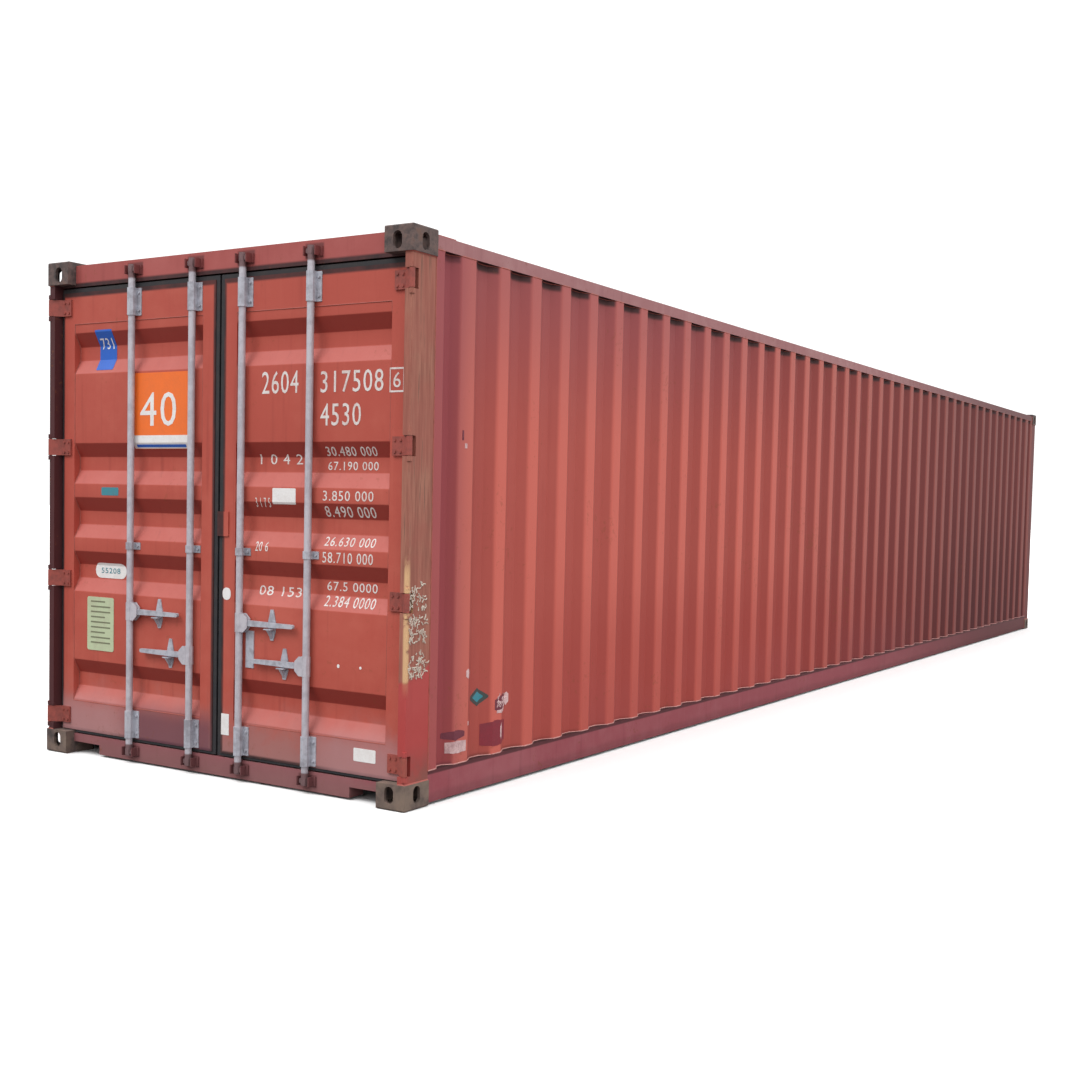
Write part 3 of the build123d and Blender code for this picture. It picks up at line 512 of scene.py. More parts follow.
    def seal_stain(self) -> None:
        """Painted shade: black along the gaps round each door, beside, above and below it."""
        sides = self.aside.step(0.050, 0.036).higher(self.aside.step(1.138, 1.148))
        beside = sides * self.height.step(2.446, 2.438)
        above = self.height.band(2.404, 2.418, 2.476, 2.490)
        below = self.height.step(0.142, 0.128)
        stain = beside.higher(above).higher(below) * (self.fine * 0.5 + 0.70)
        self.tint(stain * self.paint.seal_stain, (0.026, 0.014, 0.016))

    def door_foot(self) -> None:
        """Grime on the foot of the left door's inner half, and pale scuffs on both outer halves."""
        low_down = self.height.band(0.10, 0.13, 0.22, 0.36)
        inner = self.across.band(0.02, 0.06, 0.52, 0.80) * self.patches.step(0.30, 0.55) * 0.75
        self.tint(low_down * inner, (0.130, 0.045, 0.065))
        outer = self.aside.step(0.52, 0.80) * (self.fine * 0.5 + 0.4)
        self.tint(low_down * outer, (0.400, 0.200, 0.205))

    def end_shade(self) -> None:
        """Darkens the left post where it faces the doors or the opening."""
        towards_doors = self.rearward.step(-0.5, -0.8).higher(self.aside.step(1.205, 1.195))
        at_end = self.along.step(-5.93, -5.96)
        self.tint(towards_doors * at_end * self.paint.end_shade, (0.036, 0.013, 0.018))

    def rust(self) -> tuple[Field, Field]:
        """Rust in spots and weeping runs; gives the fine spots and the share of rust."""
        paint = self.paint
        spots = self.pattern(34.0, 3.0, 0.7, paint.seed + 9.0)
        zones = self.pattern(2.3, 3.0, 0.6, paint.seed + 11.0)
        rust = (spots * 0.62 + zones * 0.38).step(0.585, 0.640) * paint.rust_share
        weeping = self.runs.step(0.60, 0.85) * zones.step(0.55, 0.75) * (paint.rust_share * 0.7)
        rusted = rust.higher(weeping)
        self.tint(rusted, paint.rust)
        return spots, rusted


@dataclass(frozen=True)
class PostPaint:
    """The rear right post: worn to tan rust in long runs above, repainted below."""

    name: str
    base: Colour
    faded: Colour
    shade: Colour
    dark_tan: Colour
    pale_tan: Colour
    red_tan: Colour
    bare: Colour
    scuffed: Colour
    fresh: Colour
    muddy: Colour

    def material(self) -> bpy.types.Material:
        """Runs of wear above a slanted line, fresh paint and mud below it."""
        shader = Shader(self.name, self.base)
        along, across, height = shader.separate(shader.here)
        rearward, _, _ = shader.facing()
        runs = shader.pattern((20.0, 20.0, 1.1), 4.0, 0.6, 12.0)
        streaks = shader.pattern((55.0, 55.0, 3.0), 3.0, 0.6, 13.0)
        flakes = shader.pattern(18.0, 4.0, 0.6, 14.0)
        patches = shader.pattern(3.5, 4.0, 0.6, 15.0)
        shader.tint(patches.step(0.4, 0.65), self.faded)
        shader.tint(runs.step(0.50, 0.72) * 0.6, self.shade)
        above = (height + patches * 0.10 - along * 0.45).step(3.365, 3.385)
        worn = (runs * 0.7 + flakes * 0.3).step(0.24, 0.40) * above
        tan = shader.blend(streaks.step(0.36, 0.64), self.dark_tan, self.pale_tan)
        tan = shader.blend(patches.step(0.42, 0.62) * 0.5, tan, self.red_tan)
        shader.tint(worn * 0.88, tan)
        shader.tint(streaks.step(0.56, 0.70) * above * 0.65, self.bare)
        edge = along.step(-6.064, -6.080) * across.step(-1.200, -1.206)
        door_edge = rearward.step(-0.5, -0.8) * across.step(-1.186, -1.198)
        scuffed = edge.higher(door_edge) * height.band(0.50, 0.58, 1.04, 1.16)
        shader.tint(scuffed * flakes.step(0.34, 0.46), self.scuffed)
        shader.tint((1.0 - above) * height.step(0.12, 0.2) * 0.75, self.fresh)
        shader.tint(height.step(0.32, 0.12) * patches.step(0.38, 0.55) * 0.6, self.muddy)
        return shader.finish(worn * 0.28 + 0.52, flakes * 0.7 + worn * 0.8, 0.0016, 0.8, specular=0.4)


Finish = Plain | Plywood | Metal | Paint | PostPaint


@cache
def material_of(finish: Finish) -> bpy.types.Material:
    """The material of a finish, built once."""
    return finish.material()


SIDE_PAINT = Paint("side_paint", (0.395, 0.078, 0.064), (0.47, 0.125, 0.100), (0.235, 0.042, 0.036),
                   grime_share=0.18, grime_top=0.45, rust_share=0.25, recess_shade=0.9, seed=1.0)
TOP_RAIL_PAINT = Paint("top_rail_paint", (0.320, 0.130, 0.135), (0.430, 0.240, 0.240), (0.190, 0.060, 0.070),
                       grime_share=0.0, underside=0.95, far_shade=0.75, seed=10.0)
RAIL_PAINT = Paint("rail_paint", (0.280, 0.062, 0.078), (0.370, 0.130, 0.145), (0.165, 0.038, 0.048),
                   (0.028, 0.014, 0.014), grime_top=0.10, worn_ledges=0.9, ledge_line=0.9,
                   underside=0.95, far_shade=0.85, seed=6.0)
HEADER_PAINT = Paint("header_paint", (0.345, 0.078, 0.072), (0.45, 0.130, 0.120), (0.200, 0.040, 0.036),
                     grime_share=0.0, keepers=0.8, seal_stain=0.95, seed=8.0)
SILL_PAINT = Paint("sill_paint", (0.310, 0.064, 0.090), (0.40, 0.120, 0.145), grime=(0.150, 0.125, 0.105),
                   grime_share=0.5, grime_top=0.30, rust_share=0.5, keepers=0.7, seed=9.0)
DOOR_PAINT = Paint("door_paint", (0.420, 0.076, 0.054), (0.50, 0.120, 0.085), (0.230, 0.036, 0.027),
                   (0.300, 0.165, 0.160), grime_share=0.85, grime_top=0.66, rust_share=0.22,
                   unfaded=0.75, dusty=0.55, seal_stain=0.95, seed=2.0)
SHADED_PAINT = Paint("shaded_post_paint", (0.30, 0.060, 0.048), grime_share=0.35, rust_share=0.45,
                     end_shade=0.88, seed=7.0)
FRAME_PAINT = Paint("frame_paint", (0.330, 0.070, 0.062), (0.42, 0.125, 0.120), grime=(0.170, 0.135, 0.115),
                    grime_share=0.45, grime_top=0.30, rust_share=0.55, far_shade=0.75, seed=3.0)
ROOF_PAINT = Paint("roof_paint", (0.33, 0.085, 0.066), (0.42, 0.150, 0.115), grime_share=0.0,
                   rust_share=0.7, worn_ledges=0.25, seed=4.0)
POST_PAINT = PostPaint("worn_corner_post", (0.36, 0.062, 0.052), (0.43, 0.095, 0.080), (0.210, 0.045, 0.036),
                       dark_tan=(0.225, 0.092, 0.064), pale_tan=(0.380, 0.172, 0.118),
                       red_tan=(0.300, 0.088, 0.066), bare=(0.125, 0.062, 0.046),
                       scuffed=(0.620, 0.380, 0.200), fresh=(0.400, 0.045, 0.045),
                       muddy=(0.105, 0.070, 0.055))
PLYWOOD = Plywood("floor_plywood", (0.135, 0.070, 0.034), (0.300, 0.180, 0.095), (0.100, 0.075, 0.055))
CAST_STEEL = Metal("cast_steel", (0.150, 0.098, 0.088), (0.048, 0.038, 0.038),
                   (0.165, 0.080, 0.050), 0.35, 0.10, 0.74, 0.003, 1.0, dusty_foot=0.75)
ZINC = Metal("weathered_zinc", (0.545, 0.525, 0.575), (0.415, 0.395, 0.440),
             (0.255, 0.140, 0.100), 0.10, 0.20, 0.48, 0.0005, 2.0, dark_ends=0.85)
FORGED = Metal("forged_fittings", (0.500, 0.515, 0.580), (0.300, 0.295, 0.335),
               (0.225, 0.110, 0.070), 0.16, 0.20, 0.52, 0.0010, 3.0)
PAINTED_FORGING = Metal("painted_hinges", (0.335, 0.066, 0.050), (0.200, 0.046, 0.036),
                        (0.150, 0.060, 0.036), 0.35, 0.0, 0.60, 0.0015, 4.0)
SEAL = Plain("seal_rubber", (0.017, 0.017, 0.021), (0.060, 0.048, 0.043), 0.35, 0.72)
COATING = Plain("wax_coating", (0.022, 0.019, 0.018), (0.085, 0.062, 0.046), 0.45, 0.66)
WELD_PAINT = Plain("painted_weld", (0.365, 0.080, 0.060), (0.150, 0.060, 0.038), 0.45, 0.55)
# Painted highlight: the pale bead stands in for light caught along the wall's foot.
FOOT_WELD_HIGHLIGHT = Plain("pale_foot_weld", (0.520, 0.250, 0.230), (0.230, 0.085, 0.075), 0.50, 0.60)
TOUCHED_UP = Plain("touched_up_paint", (0.225, 0.016, 0.030), (0.130, 0.030, 0.040), 0.35, 0.55)
PURPLE_STAIN = Plain("purple_stain", (0.150, 0.026, 0.044), (0.085, 0.018, 0.028), 0.50, 0.70)
PINK_MARK = Plain("pink_marking", (0.640, 0.440, 0.440), (0.200, 0.070, 0.080), 0.55, 0.65)
DARK_GREEN = Plain("dark_green_marking", (0.045, 0.055, 0.052), (0.080, 0.028, 0.032), 0.40, 0.60)
WHITE_MARK = Plain("white_marking", (0.690, 0.655, 0.640), (0.42, 0.20, 0.165), 0.42, 0.62)
CHALK = Plain("chalk_marking", (0.560, 0.490, 0.420), (0.34, 0.17, 0.13), 0.45, 0.85)
PAPER_WHITE = Plain("white_label", (0.780, 0.770, 0.765), (0.45, 0.36, 0.33), 0.25, 0.5)
BLUE = Plain("blue_label", (0.012, 0.110, 0.520), (0.05, 0.10, 0.28), 0.25, 0.42)
ORANGE = Plain("orange_label", (0.840, 0.160, 0.020), (0.48, 0.12, 0.05), 0.18, 0.42)
TEAL = Plain("teal_label", (0.030, 0.230, 0.290), (0.14, 0.12, 0.13), 0.30, 0.45)
PALE_GREEN = Plain("approval_plate", (0.470, 0.540, 0.350), (0.37, 0.33, 0.24), 0.40, 0.42)
DARK_INK = Plain("dark_ink", (0.165, 0.180, 0.110), (0.20, 0.15, 0.10), 0.3, 0.6)


# Meshes and geometry trees


def shown(name: str, data: bpy.types.ID) -> bpy.types.Object:
    """Puts a new object in the scene.

    Args:
        name: Its name.
        data: What it shows.

    Returns:
        The object.
    """
    thing = bpy.data.objects.new(name, data)
    bpy.context.scene.collection.objects.link(thing)
    return thing


def evaluated(carrier: bpy.types.Object, name: str) -> bpy.types.Mesh:
    """Turns a carrier of a modifier or of text into a plain mesh, and removes it.

    Args:
        carrier: The object to evaluate.
        name: Name of the mesh.

    Returns:
        The plain mesh.
    """
    graph = bpy.context.evaluated_depsgraph_get()
    mesh = bpy.data.meshes.new_from_object(carrier.evaluated_get(graph), depsgraph=graph)
    carrier.modifiers.clear()
    bpy.data.objects.remove(carrier)
    mesh.name = name
    return mesh


def raw_mesh(name: str, points: Sequence[Point3], edges: Sequence[tuple[int, int]] = (),
             faces: Sequence[tuple[int, ...]] = ()) -> bpy.types.Mesh:
    """Makes a mesh from plain lists.

    Args:
        name: Name of the mesh.
        points: Its points.
        edges: Its loose edges, by the numbers of their points.
        faces: Its faces, likewise.

    Returns:
        The mesh.
    """
    mesh = bpy.data.meshes.new(name)
    mesh.from_pydata(points, edges, faces)
    return mesh


def path_mesh(name: str, runs: Iterable[Sequence[Point3]]) -> bpy.types.Mesh:
    """Makes a mesh of edges only.

    Args:
        name: Name of the mesh.
        runs: Points of each chain of edges.

    Returns:
        The mesh.
    """
    points: list[Point3] = []
    edges: list[tuple[int, int]] = []
    for run in runs:
        edges += [(index, index + 1) for index in range(len(points), len(points) + len(run) - 1)]
        points += run
    return raw_mesh(name, points, edges)


def closed_mesh(name: str, shape: bmesh.types.BMesh) -> bpy.types.Mesh:
    """Turns a closed shape into a mesh whose faces point outwards.

    Args:
        name: Name of the mesh.
        shape: The shape, which is freed.

    Returns:
        The mesh.
    """
    bmesh.ops.recalc_face_normals(shape, faces=shape.faces)
    mesh = bpy.data.meshes.new(name)
    shape.to_mesh(mesh)
    shape.free()
    return mesh


class GeometryTree(Graph):
    """A geometry node group with named inputs, which turns a mesh into a plain mesh."""

    def __init__(self, name: str, kinds: dict[str, str]) -> None:
        """Starts the group.

        Args:
            name: Name of the group.
            kinds: Names of its inputs after the geometry, and their kinds, such as Float or Vector.
        """
        super().__init__(bpy.data.node_groups.new(name, "GeometryNodeTree"))
        add = self.tree.interface.new_socket
        add("Geometry", in_out="OUTPUT", socket_type="NodeSocketGeometry")
        self.identifiers = {}
        for label, kind in {"Geometry": "Geometry", **kinds, "Material": "Material"}.items():
            self.identifiers[label] = add(label, in_out="INPUT", socket_type=f"NodeSocket{kind}").identifier
        entry = self.tree.nodes.new("NodeGroupInput")
        self.inputs = [Field(self, entry.outputs[label]) for label in self.identifiers]

    def pushed(self, geometry: Field, push: Field) -> Field:
        """Moves a geometry along its own directions.

        Args:
            geometry: The geometry.
            push: How far each point goes.

        Returns:
            The moved geometry.
        """
        values = {0: self.node("GeometryNodeInputNormal"), "Scale": push}
        offset = self.node("ShaderNodeVectorMath", {"operation": "SCALE"}, values)
        return self.node("GeometryNodeSetPosition", values={"Geometry": geometry, "Offset": offset})

    def close(self, geometry: Field) -> None:
        """Ends the tree: instances made real, material set."""
        real = self.node("GeometryNodeRealizeInstances", values=[geometry])
        values = {"Geometry": real, "Material": self.inputs[-1]}
        self.end("NodeGroupOutput", self.node("GeometryNodeSetMaterial", values=values))

    def bake(self, name: str, source: bpy.types.Mesh, finish: Finish, *values: Any) -> bpy.types.Mesh:
        """Runs the tree on a mesh.

        Args:
            name: Name of the result.
            source: Mesh that the tree works on.
            finish: Its finish.
            values: The tree's own inputs, in order.

        Returns:
            The result as a plain mesh.
        """
        carrier = shown(name, source)
        modifier = carrier.modifiers.new("tree", "NODES")
        modifier.node_group = self.tree
        for label, value in zip(list(self.identifiers)[1:], (*values, material_of(finish))):
            modifier[self.identifiers[label]] = value
        return evaluated(carrier, name)


@cache
def folded_sheet_tree() -> GeometryTree:
    """Sheet from a folded outline: rounded bends, slight dents, real thickness."""
    tree = GeometryTree("folded_sheet", {"Rise": "Float", "Bend Radius": "Float", "Rows": "Int",
                                         "Thickness": "Float", "Dent Depth": "Float", "Seed": "Float"})
    source, rise, bend, rows, thick, dent, seed, _ = tree.inputs
    outline = tree.node("GeometryNodeMeshToCurve", values=[source])
    rounded = tree.node("GeometryNodeFilletCurve", {"mode": "POLY"},
                        {"Curve": outline, "Count": 3, "Radius": bend, "Limit Radius": True})
    top = tree.node("ShaderNodeCombineXYZ", values={"Z": rise})
    line = tree.node("GeometryNodeCurvePrimitiveLine", values={"End": top})
    path = tree.node("GeometryNodeResampleCurve", values={"Curve": line, "Count": rows})
    sheet = tree.node("GeometryNodeCurveToMesh", values={"Curve": path, "Profile Curve": rounded})
    place = tree.node("GeometryNodeInputPosition")
    _, _, height = tree.separate(place)
    waves = tree.noise(place, 1.7, 2.0, 0.5, seed)
    fade = height.step(0.0, 0.16) * (rise - height).step(0.0, 0.16)
    dented = tree.pushed(sheet, (waves - 0.5) * dent * fade)
    back = tree.node("GeometryNodeExtrudeMesh", {"mode": "FACES"},
                     {"Mesh": dented, "Offset Scale": thick * -1.0, "Individual": False})
    turned = tree.node("GeometryNodeFlipFaces", values=[back])
    joined = tree.node("GeometryNodeJoinGeometry", values=[[turned, dented]])
    tree.close(tree.node("GeometryNodeMergeByDistance", values={"Geometry": joined, "Distance": 0.00005}))
    return tree


@cache
def bead_tree() -> GeometryTree:
    """Lumpy bead of weld or chalk along each run of edges."""
    tree = GeometryTree("bead", {"Radius": "Float", "Spacing": "Float", "Lump Height": "Float",
                                 "Seed": "Float"})
    source, radius, spacing, lumps, seed, _ = tree.inputs
    runs = tree.node("GeometryNodeMeshToCurve", values=[source])
    path = tree.node("GeometryNodeResampleCurve", {"mode": "LENGTH"}, {"Curve": runs, "Length": spacing})
    ring = tree.node("GeometryNodeCurvePrimitiveCircle", values={"Resolution": 6, "Radius": radius})
    tube = tree.node("GeometryNodeCurveToMesh",
                     values={"Curve": path, "Profile Curve": ring, "Fill Caps": True})
    waves = tree.noise(tree.node("GeometryNodeInputPosition"), 55.0, 1.0, 0.5, seed)
    tree.close(tree.pushed(tube, (waves - 0.5) * lumps))
    return tree


@cache
def fastener_tree() -> GeometryTree:
    """A headed fastener on a washer at each point, each turned by its own amount."""
    tree = GeometryTree("fasteners", {"Head Radius": "Float", "Head Height": "Float", "Head Sides": "Int",
                                      "Washer Radius": "Float", "Facing": "Vector", "Seed": "Int"})
    source, radius, height, sides, washer, facing, seed, _ = tree.inputs
    head = tree.node("GeometryNodeMeshCylinder", {"fill_type": "NGON"},
                     {"Vertices": sides, "Radius": radius, "Depth": height})
    disc = tree.node("GeometryNodeMeshCylinder", {"fill_type": "NGON"},
                     {"Vertices": 16, "Radius": washer, "Depth": height * 0.3})
    lift = tree.node("ShaderNodeCombineXYZ", values={"Z": height * 0.62})
    raised = tree.node("GeometryNodeTransform", values={"Geometry": head, "Translation": lift})
    joined = tree.node("GeometryNodeJoinGeometry", values=[[raised, disc]])
    spin = tree.node("FunctionNodeRandomValue", {"data_type": "FLOAT"}, {"Max": math.tau, "Seed": seed}, 1)
    around = tree.node("ShaderNodeCombineXYZ", values={"Z": spin})
    turned = tree.node("FunctionNodeEulerToRotation", values=[around])
    aligned = tree.node("FunctionNodeAlignRotationToVector", {"axis": "Z"}, {"Vector": facing})
    both = tree.node("FunctionNodeRotateRotation", {"rotation_space": "LOCAL"}, [aligned, turned])
    tree.close(tree.node("GeometryNodeInstanceOnPoints",
                         values={"Points": source, "Instance": joined, "Rotation": both}))
    return tree


@cache
def deck_tree() -> GeometryTree:
    """A board at each point, of one size, each sunk by a hair."""
    tree = GeometryTree("deck", {"Board Size": "Vector", "Unevenness": "Float", "Seed": "Int"})
    source, size, uneven, seed, _ = tree.inputs
    board = tree.node("GeometryNodeMeshCube", values={"Size": size})
    shift = tree.node("FunctionNodeRandomValue", {"data_type": "FLOAT"}, {2: 0.0, 3: 1.0, "Seed": seed}, 1)
    drop = tree.node("ShaderNodeCombineXYZ", values={"Z": shift * uneven * -1.0})
    settled = tree.node("GeometryNodeSetPosition", values={"Geometry": source, "Offset": drop})
    tree.close(tree.node("GeometryNodeInstanceOnPoints", values={"Points": settled, "Instance": board}))
    return tree


# Sub-assemblies


@dataclass(frozen=True)
class Fastener:
    """A kind of bolt, rivet or screw: its head and the washer under it."""

    finish: Finish
    radius: float
    height: float
    sides: int
    washer: float
    facing: Point3 = (-1.0, 0.0, 0.0)


BRACKET_BOLT = Fastener(FORGED, 0.0065, 0.006, 6, 0.0085)
HINGE_RIVET = Fastener(PAINTED_FORGING, 0.0065, 0.004, 12, 0.008)
SEAL_RIVET = Fastener(ZINC, 0.0045, 0.003, 10, 0.006, (1.0, 0.0, 0.0))
DECK_SCREW = Fastener(FORGED, 0.006, 0.0016, 10, 0.0062, (0.0, 0.0, 1.0))


class SubAssembly:
    """Adds pieces, beads and fasteners to the body that the sub-assembly rides on."""

    body = "container"

    def add(self, name: str, mesh: bpy.types.Mesh, finish: Finish | None = None, slot: str | None = None,
            replaces: str | None = None, smooth: float | None = None) -> None:
        """Places a finished mesh in the scene and ties it to its body.

        Args:
            name: Name of the piece.
            mesh: Its mesh, in the row frame.
            finish: Its finish, where the mesh has none.
            slot: The record's material slot; not used.
            replaces: The CAD node that it stands for.
            smooth: Angle in degrees below which edges are shaded smooth.
        """
        if finish:
            mesh.materials.append(material_of(finish))
        if smooth is not None:
            mesh.polygons.foreach_set("use_smooth", [True] * len(mesh.polygons))
            mesh.set_sharp_from_angle(angle=math.radians(smooth))
        piece = shown(name, mesh)
        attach(piece, self.body)
        if replaces:
            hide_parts(replaces)
        mesh.calc_loop_triangles()
        LOG.info("%s: %d triangles on %s", name, len(mesh.loop_triangles), self.body)

    def beads(self, name: str, runs: Iterable[Sequence[Point3]], finish: Plain, radius: float,
              spacing: float, seed: float) -> None:
        """Adds beads.

        Args:
            name: Name of the piece.
            runs: Points of each bead.
            finish: Its finish.
            radius: Radius of a bead.
            spacing: Distance between its rings.
            seed: Seed of its lumps.
        """
        values = (radius, spacing, radius * 0.6, seed)
        self.add(name, bead_tree().bake(name, path_mesh(name, runs), finish, *values), smooth=50)

    def fasteners(self, name: str, kind: Fastener, points: Sequence[Point3], seed: int) -> None:
        """Adds a fastener at each point."""
        values = (kind.radius, kind.height, kind.sides, kind.washer, kind.facing, seed)
        self.add(name, fastener_tree().bake(name, raw_mesh(name, points), kind.finish, *values))


@dataclass(frozen=True)
class Folds:
    """The recesses of a long side wall: one narrow one at each end, wide ones between."""

    flat: float = 0.073
    inner_flat: float = 0.070
    depth: float = 0.036
    full_start: float = 0.480
    full_count: int = 40
    end_start: float = 0.239
    end_slope: float = 0.048
    end_flat: float = 0.040

    def outline(self) -> list[Point2]:
        """Works out the wall's outline, seen from above.

        Returns:
            Place along the container and depth of each of its points, from the doors on.
        """
        length = 2 * HALF_LENGTH
        pitch = (length - 2 * self.full_start + self.flat) / self.full_count
        slope = (pitch - self.flat - self.inner_flat) / 2
        last_start = length - self.end_start - 2 * self.end_slope - self.end_flat
        recesses = [(self.end_start, self.end_slope, self.end_flat)]
        for index in range(self.full_count):
            recesses.append((self.full_start + index * pitch, slope, self.inner_flat))
        recesses.append((last_start, self.end_slope, self.end_flat))
        outline = [(-CASTING_INNER_X, 0.0)]
        for start, slope, flat in recesses:
            x = start - HALF_LENGTH
            outline += [(x, 0.0), (x + slope, self.depth), (x + slope + flat, self.depth),
                        (x + 2 * slope + flat, 0.0)]
        return [*outline, (CASTING_INNER_X, 0.0)]

    def right_face(self, x: float) -> float:
        """Y of the right wall's outer face at one place along it."""
        return float(np.interp(x, *zip(*self.outline()))) - FRAME_Y


FOLDS = Folds()


@dataclass(frozen=True)
class SideWall(SubAssembly):
    """A corrugated side wall and the welds round it."""

    side: Side
    bend_radius: float = 0.012
    rows: int = 26
    thickness: float = 0.002
    dent_depth: float = 0.004
    weld_inset: float = 0.0015
    weld_levels: Point2 = (0.1185, 2.4725)
    foot_casting: Point2 = (0.014, 0.117)
    head_casting: Point2 = (2.509, 2.566)

    def sheet(self) -> None:
        """Corrugated sheet, its folds rounded and its face a little dented."""
        name = f"corrugated_wall_{self.side.label}"
        source = path_mesh(name, [[(x, depth, 0.0) for x, depth in FOLDS.outline()]])
        values = (WALL_TOP - RAIL_TOP, self.bend_radius, self.rows, self.thickness, self.dent_depth,
                  3.0 + self.side.value)
        mesh = folded_sheet_tree().bake(name, source, SIDE_PAINT, *values)
        if self.side is Side.RIGHT:
            mesh.transform(Matrix.Translation((0.0, -FRAME_Y, RAIL_TOP)))
        else:
            mesh.transform(Matrix.Translation((0.0, FRAME_Y, RAIL_TOP)) @ Matrix.Diagonal((1, -1, 1, 1)))
            mesh.flip_normals()
        self.add(name, mesh, slot="red_paint", replaces=f"side_wall_{self.side.label}", smooth=35)

    def welds(self) -> None:
        """Beads along the wall's foot and head, and up the posts."""
        sign = self.side.value
        # The foot bead's pale colour is a painted highlight.
        edges = (("foot", RAIL_TOP + 0.001, FOOT_WELD_HIGHLIGHT), ("head", WALL_TOP - 0.001, WELD_PAINT))
        for label, z, finish in edges:
            run = [(x, sign * (FRAME_Y - depth) - sign * self.weld_inset, z) for x, depth in FOLDS.outline()]
            self.beads(f"wall_{label}_weld_{self.side.label}", [run], finish, 0.0038, 0.016, 1.0)
        y = sign * (FRAME_Y - self.weld_inset)
        uprights = [[(x, y, RAIL_TOP), (x, y, WALL_TOP)] for x in (-CASTING_INNER_X, CASTING_INNER_X)]
        self.beads(f"post_weld_{self.side.label}", uprights, WELD_PAINT, 0.004, 0.010, 2.0)

    def casting_welds(self) -> None:
        """Heavy fillets where posts and rails meet the castings."""
        y, y_rear, y_front = (self.side.value * place for place in (FRAME_Y - 0.001, 1.171, 1.102))
        end = HALF_LENGTH - 0.010
        inner = CASTING_INNER_X + 0.001
        runs = []
        for z in self.weld_levels:
            runs.append([(-end + 0.002, y_rear, z), (-end, y, z), (-inner, y, z)])
            runs.append([(end, y_front, z), (end, y, z), (inner, y, z)])
        for x in (-CASTING_INNER_X, CASTING_INNER_X):
            runs += [[(x, y, z) for z in heights] for heights in (self.foot_casting, self.head_casting)]
        self.beads(f"casting_weld_{self.side.label}", runs, WELD_PAINT, 0.0055, 0.008, 4.0)

    def build(self) -> None:
        """Adds the sheet and its welds."""
        self.sheet()
        self.welds()
        self.casting_welds()


@dataclass(frozen=True)
class Relief:
    """Depth of a door's outer face, by height."""

    recesses: tuple[float, ...] = (0.396, 0.972, 1.256, 1.540, 2.116)
    low: float = 0.280
    high: float = 2.270
    mouth: float = 0.107
    flat: float = 0.035
    depth: float = 0.036
    inner_y: float = 0.115
    outer_y: float = 1.065

    def outline(self) -> list[Point2]:
        """Works out the outline of the pressed sheet, seen from the side.

        Returns:
            Height and depth of each of its points, from the foot up.
        """
        steps = ((-self.mouth, 0.0), (-self.flat, self.depth), (self.flat, self.depth), (self.mouth, 0.0))
        folds = [(z + step, depth) for z in self.recesses for step, depth in steps]
        return [(self.low, 0.0), *folds, (self.high, 0.0)]

    def face_depth(self, y: float, z: float) -> float:
        """Finds the door's face, on the sheet or on the frame round it.

        Args:
            y: Place across.
            z: Height.

        Returns:
            Its depth behind the plane of the door end.
        """
        if self.inner_y < abs(y) < self.outer_y and self.low < z < self.high:
            return PANEL_FACE + float(np.interp(z, *zip(*self.outline())))
        return LEAF_FACE


RELIEF = Relief()


def rounded_plate(low: Point2, high: Point2, radius: float) -> bmesh.types.BMesh:
    """Draws a flat rectangle with rounded corners.

    Args:
        low: Its lowest place across and its lowest height.
        high: Its highest ones.
        radius: Radius of its corners.

    Returns:
        The figure, x across and y up.
    """
    flat = bmesh.new()
    corners = ((high[0] - radius, high[1] - radius), (low[0] + radius, high[1] - radius),
               (low[0] + radius, low[1] + radius), (high[0] - radius, low[1] + radius))
    outline = []
    for quarter, (y, z) in enumerate(corners):
        for step in range(5):
            angle = (quarter + step / 4) * math.pi / 2
            outline.append(flat.verts.new((y + radius * math.cos(angle), z + radius * math.sin(angle), 0)))
    flat.faces.new(outline)
    return flat


def digit_figure(low: Point2, high: Point2, words: str) -> bmesh.types.BMesh:
    """Draws digits that fill a rectangle, read from behind the doors.

    Args:
        low: Its lowest place across and its lowest height.
        high: Its highest ones.
        words: The digits.

    Returns:
        The figure, x across and y up.
    """
    curve = bpy.data.curves.new("digits", "FONT")
    curve.body = words
    curve.resolution_u = 3
    curve.space_character = 1.12
    flat = bmesh.new()
    flat.from_mesh(evaluated(shown("digits", curve), "digits"))
    bmesh.ops.remove_doubles(flat, verts=flat.verts, dist=1e-5)
    xs = [vertex.co.x for vertex in flat.verts]
    ys = [vertex.co.y for vertex in flat.verts]
    for vertex in flat.verts:
        across = (vertex.co.x - min(xs)) / (max(xs) - min(xs))
        up = (vertex.co.y - min(ys)) / (max(ys) - min(ys))
        vertex.co = Vector((high[0] - across * (high[0] - low[0]), low[1] + up * (high[1] - low[1]), 0))
    return flat


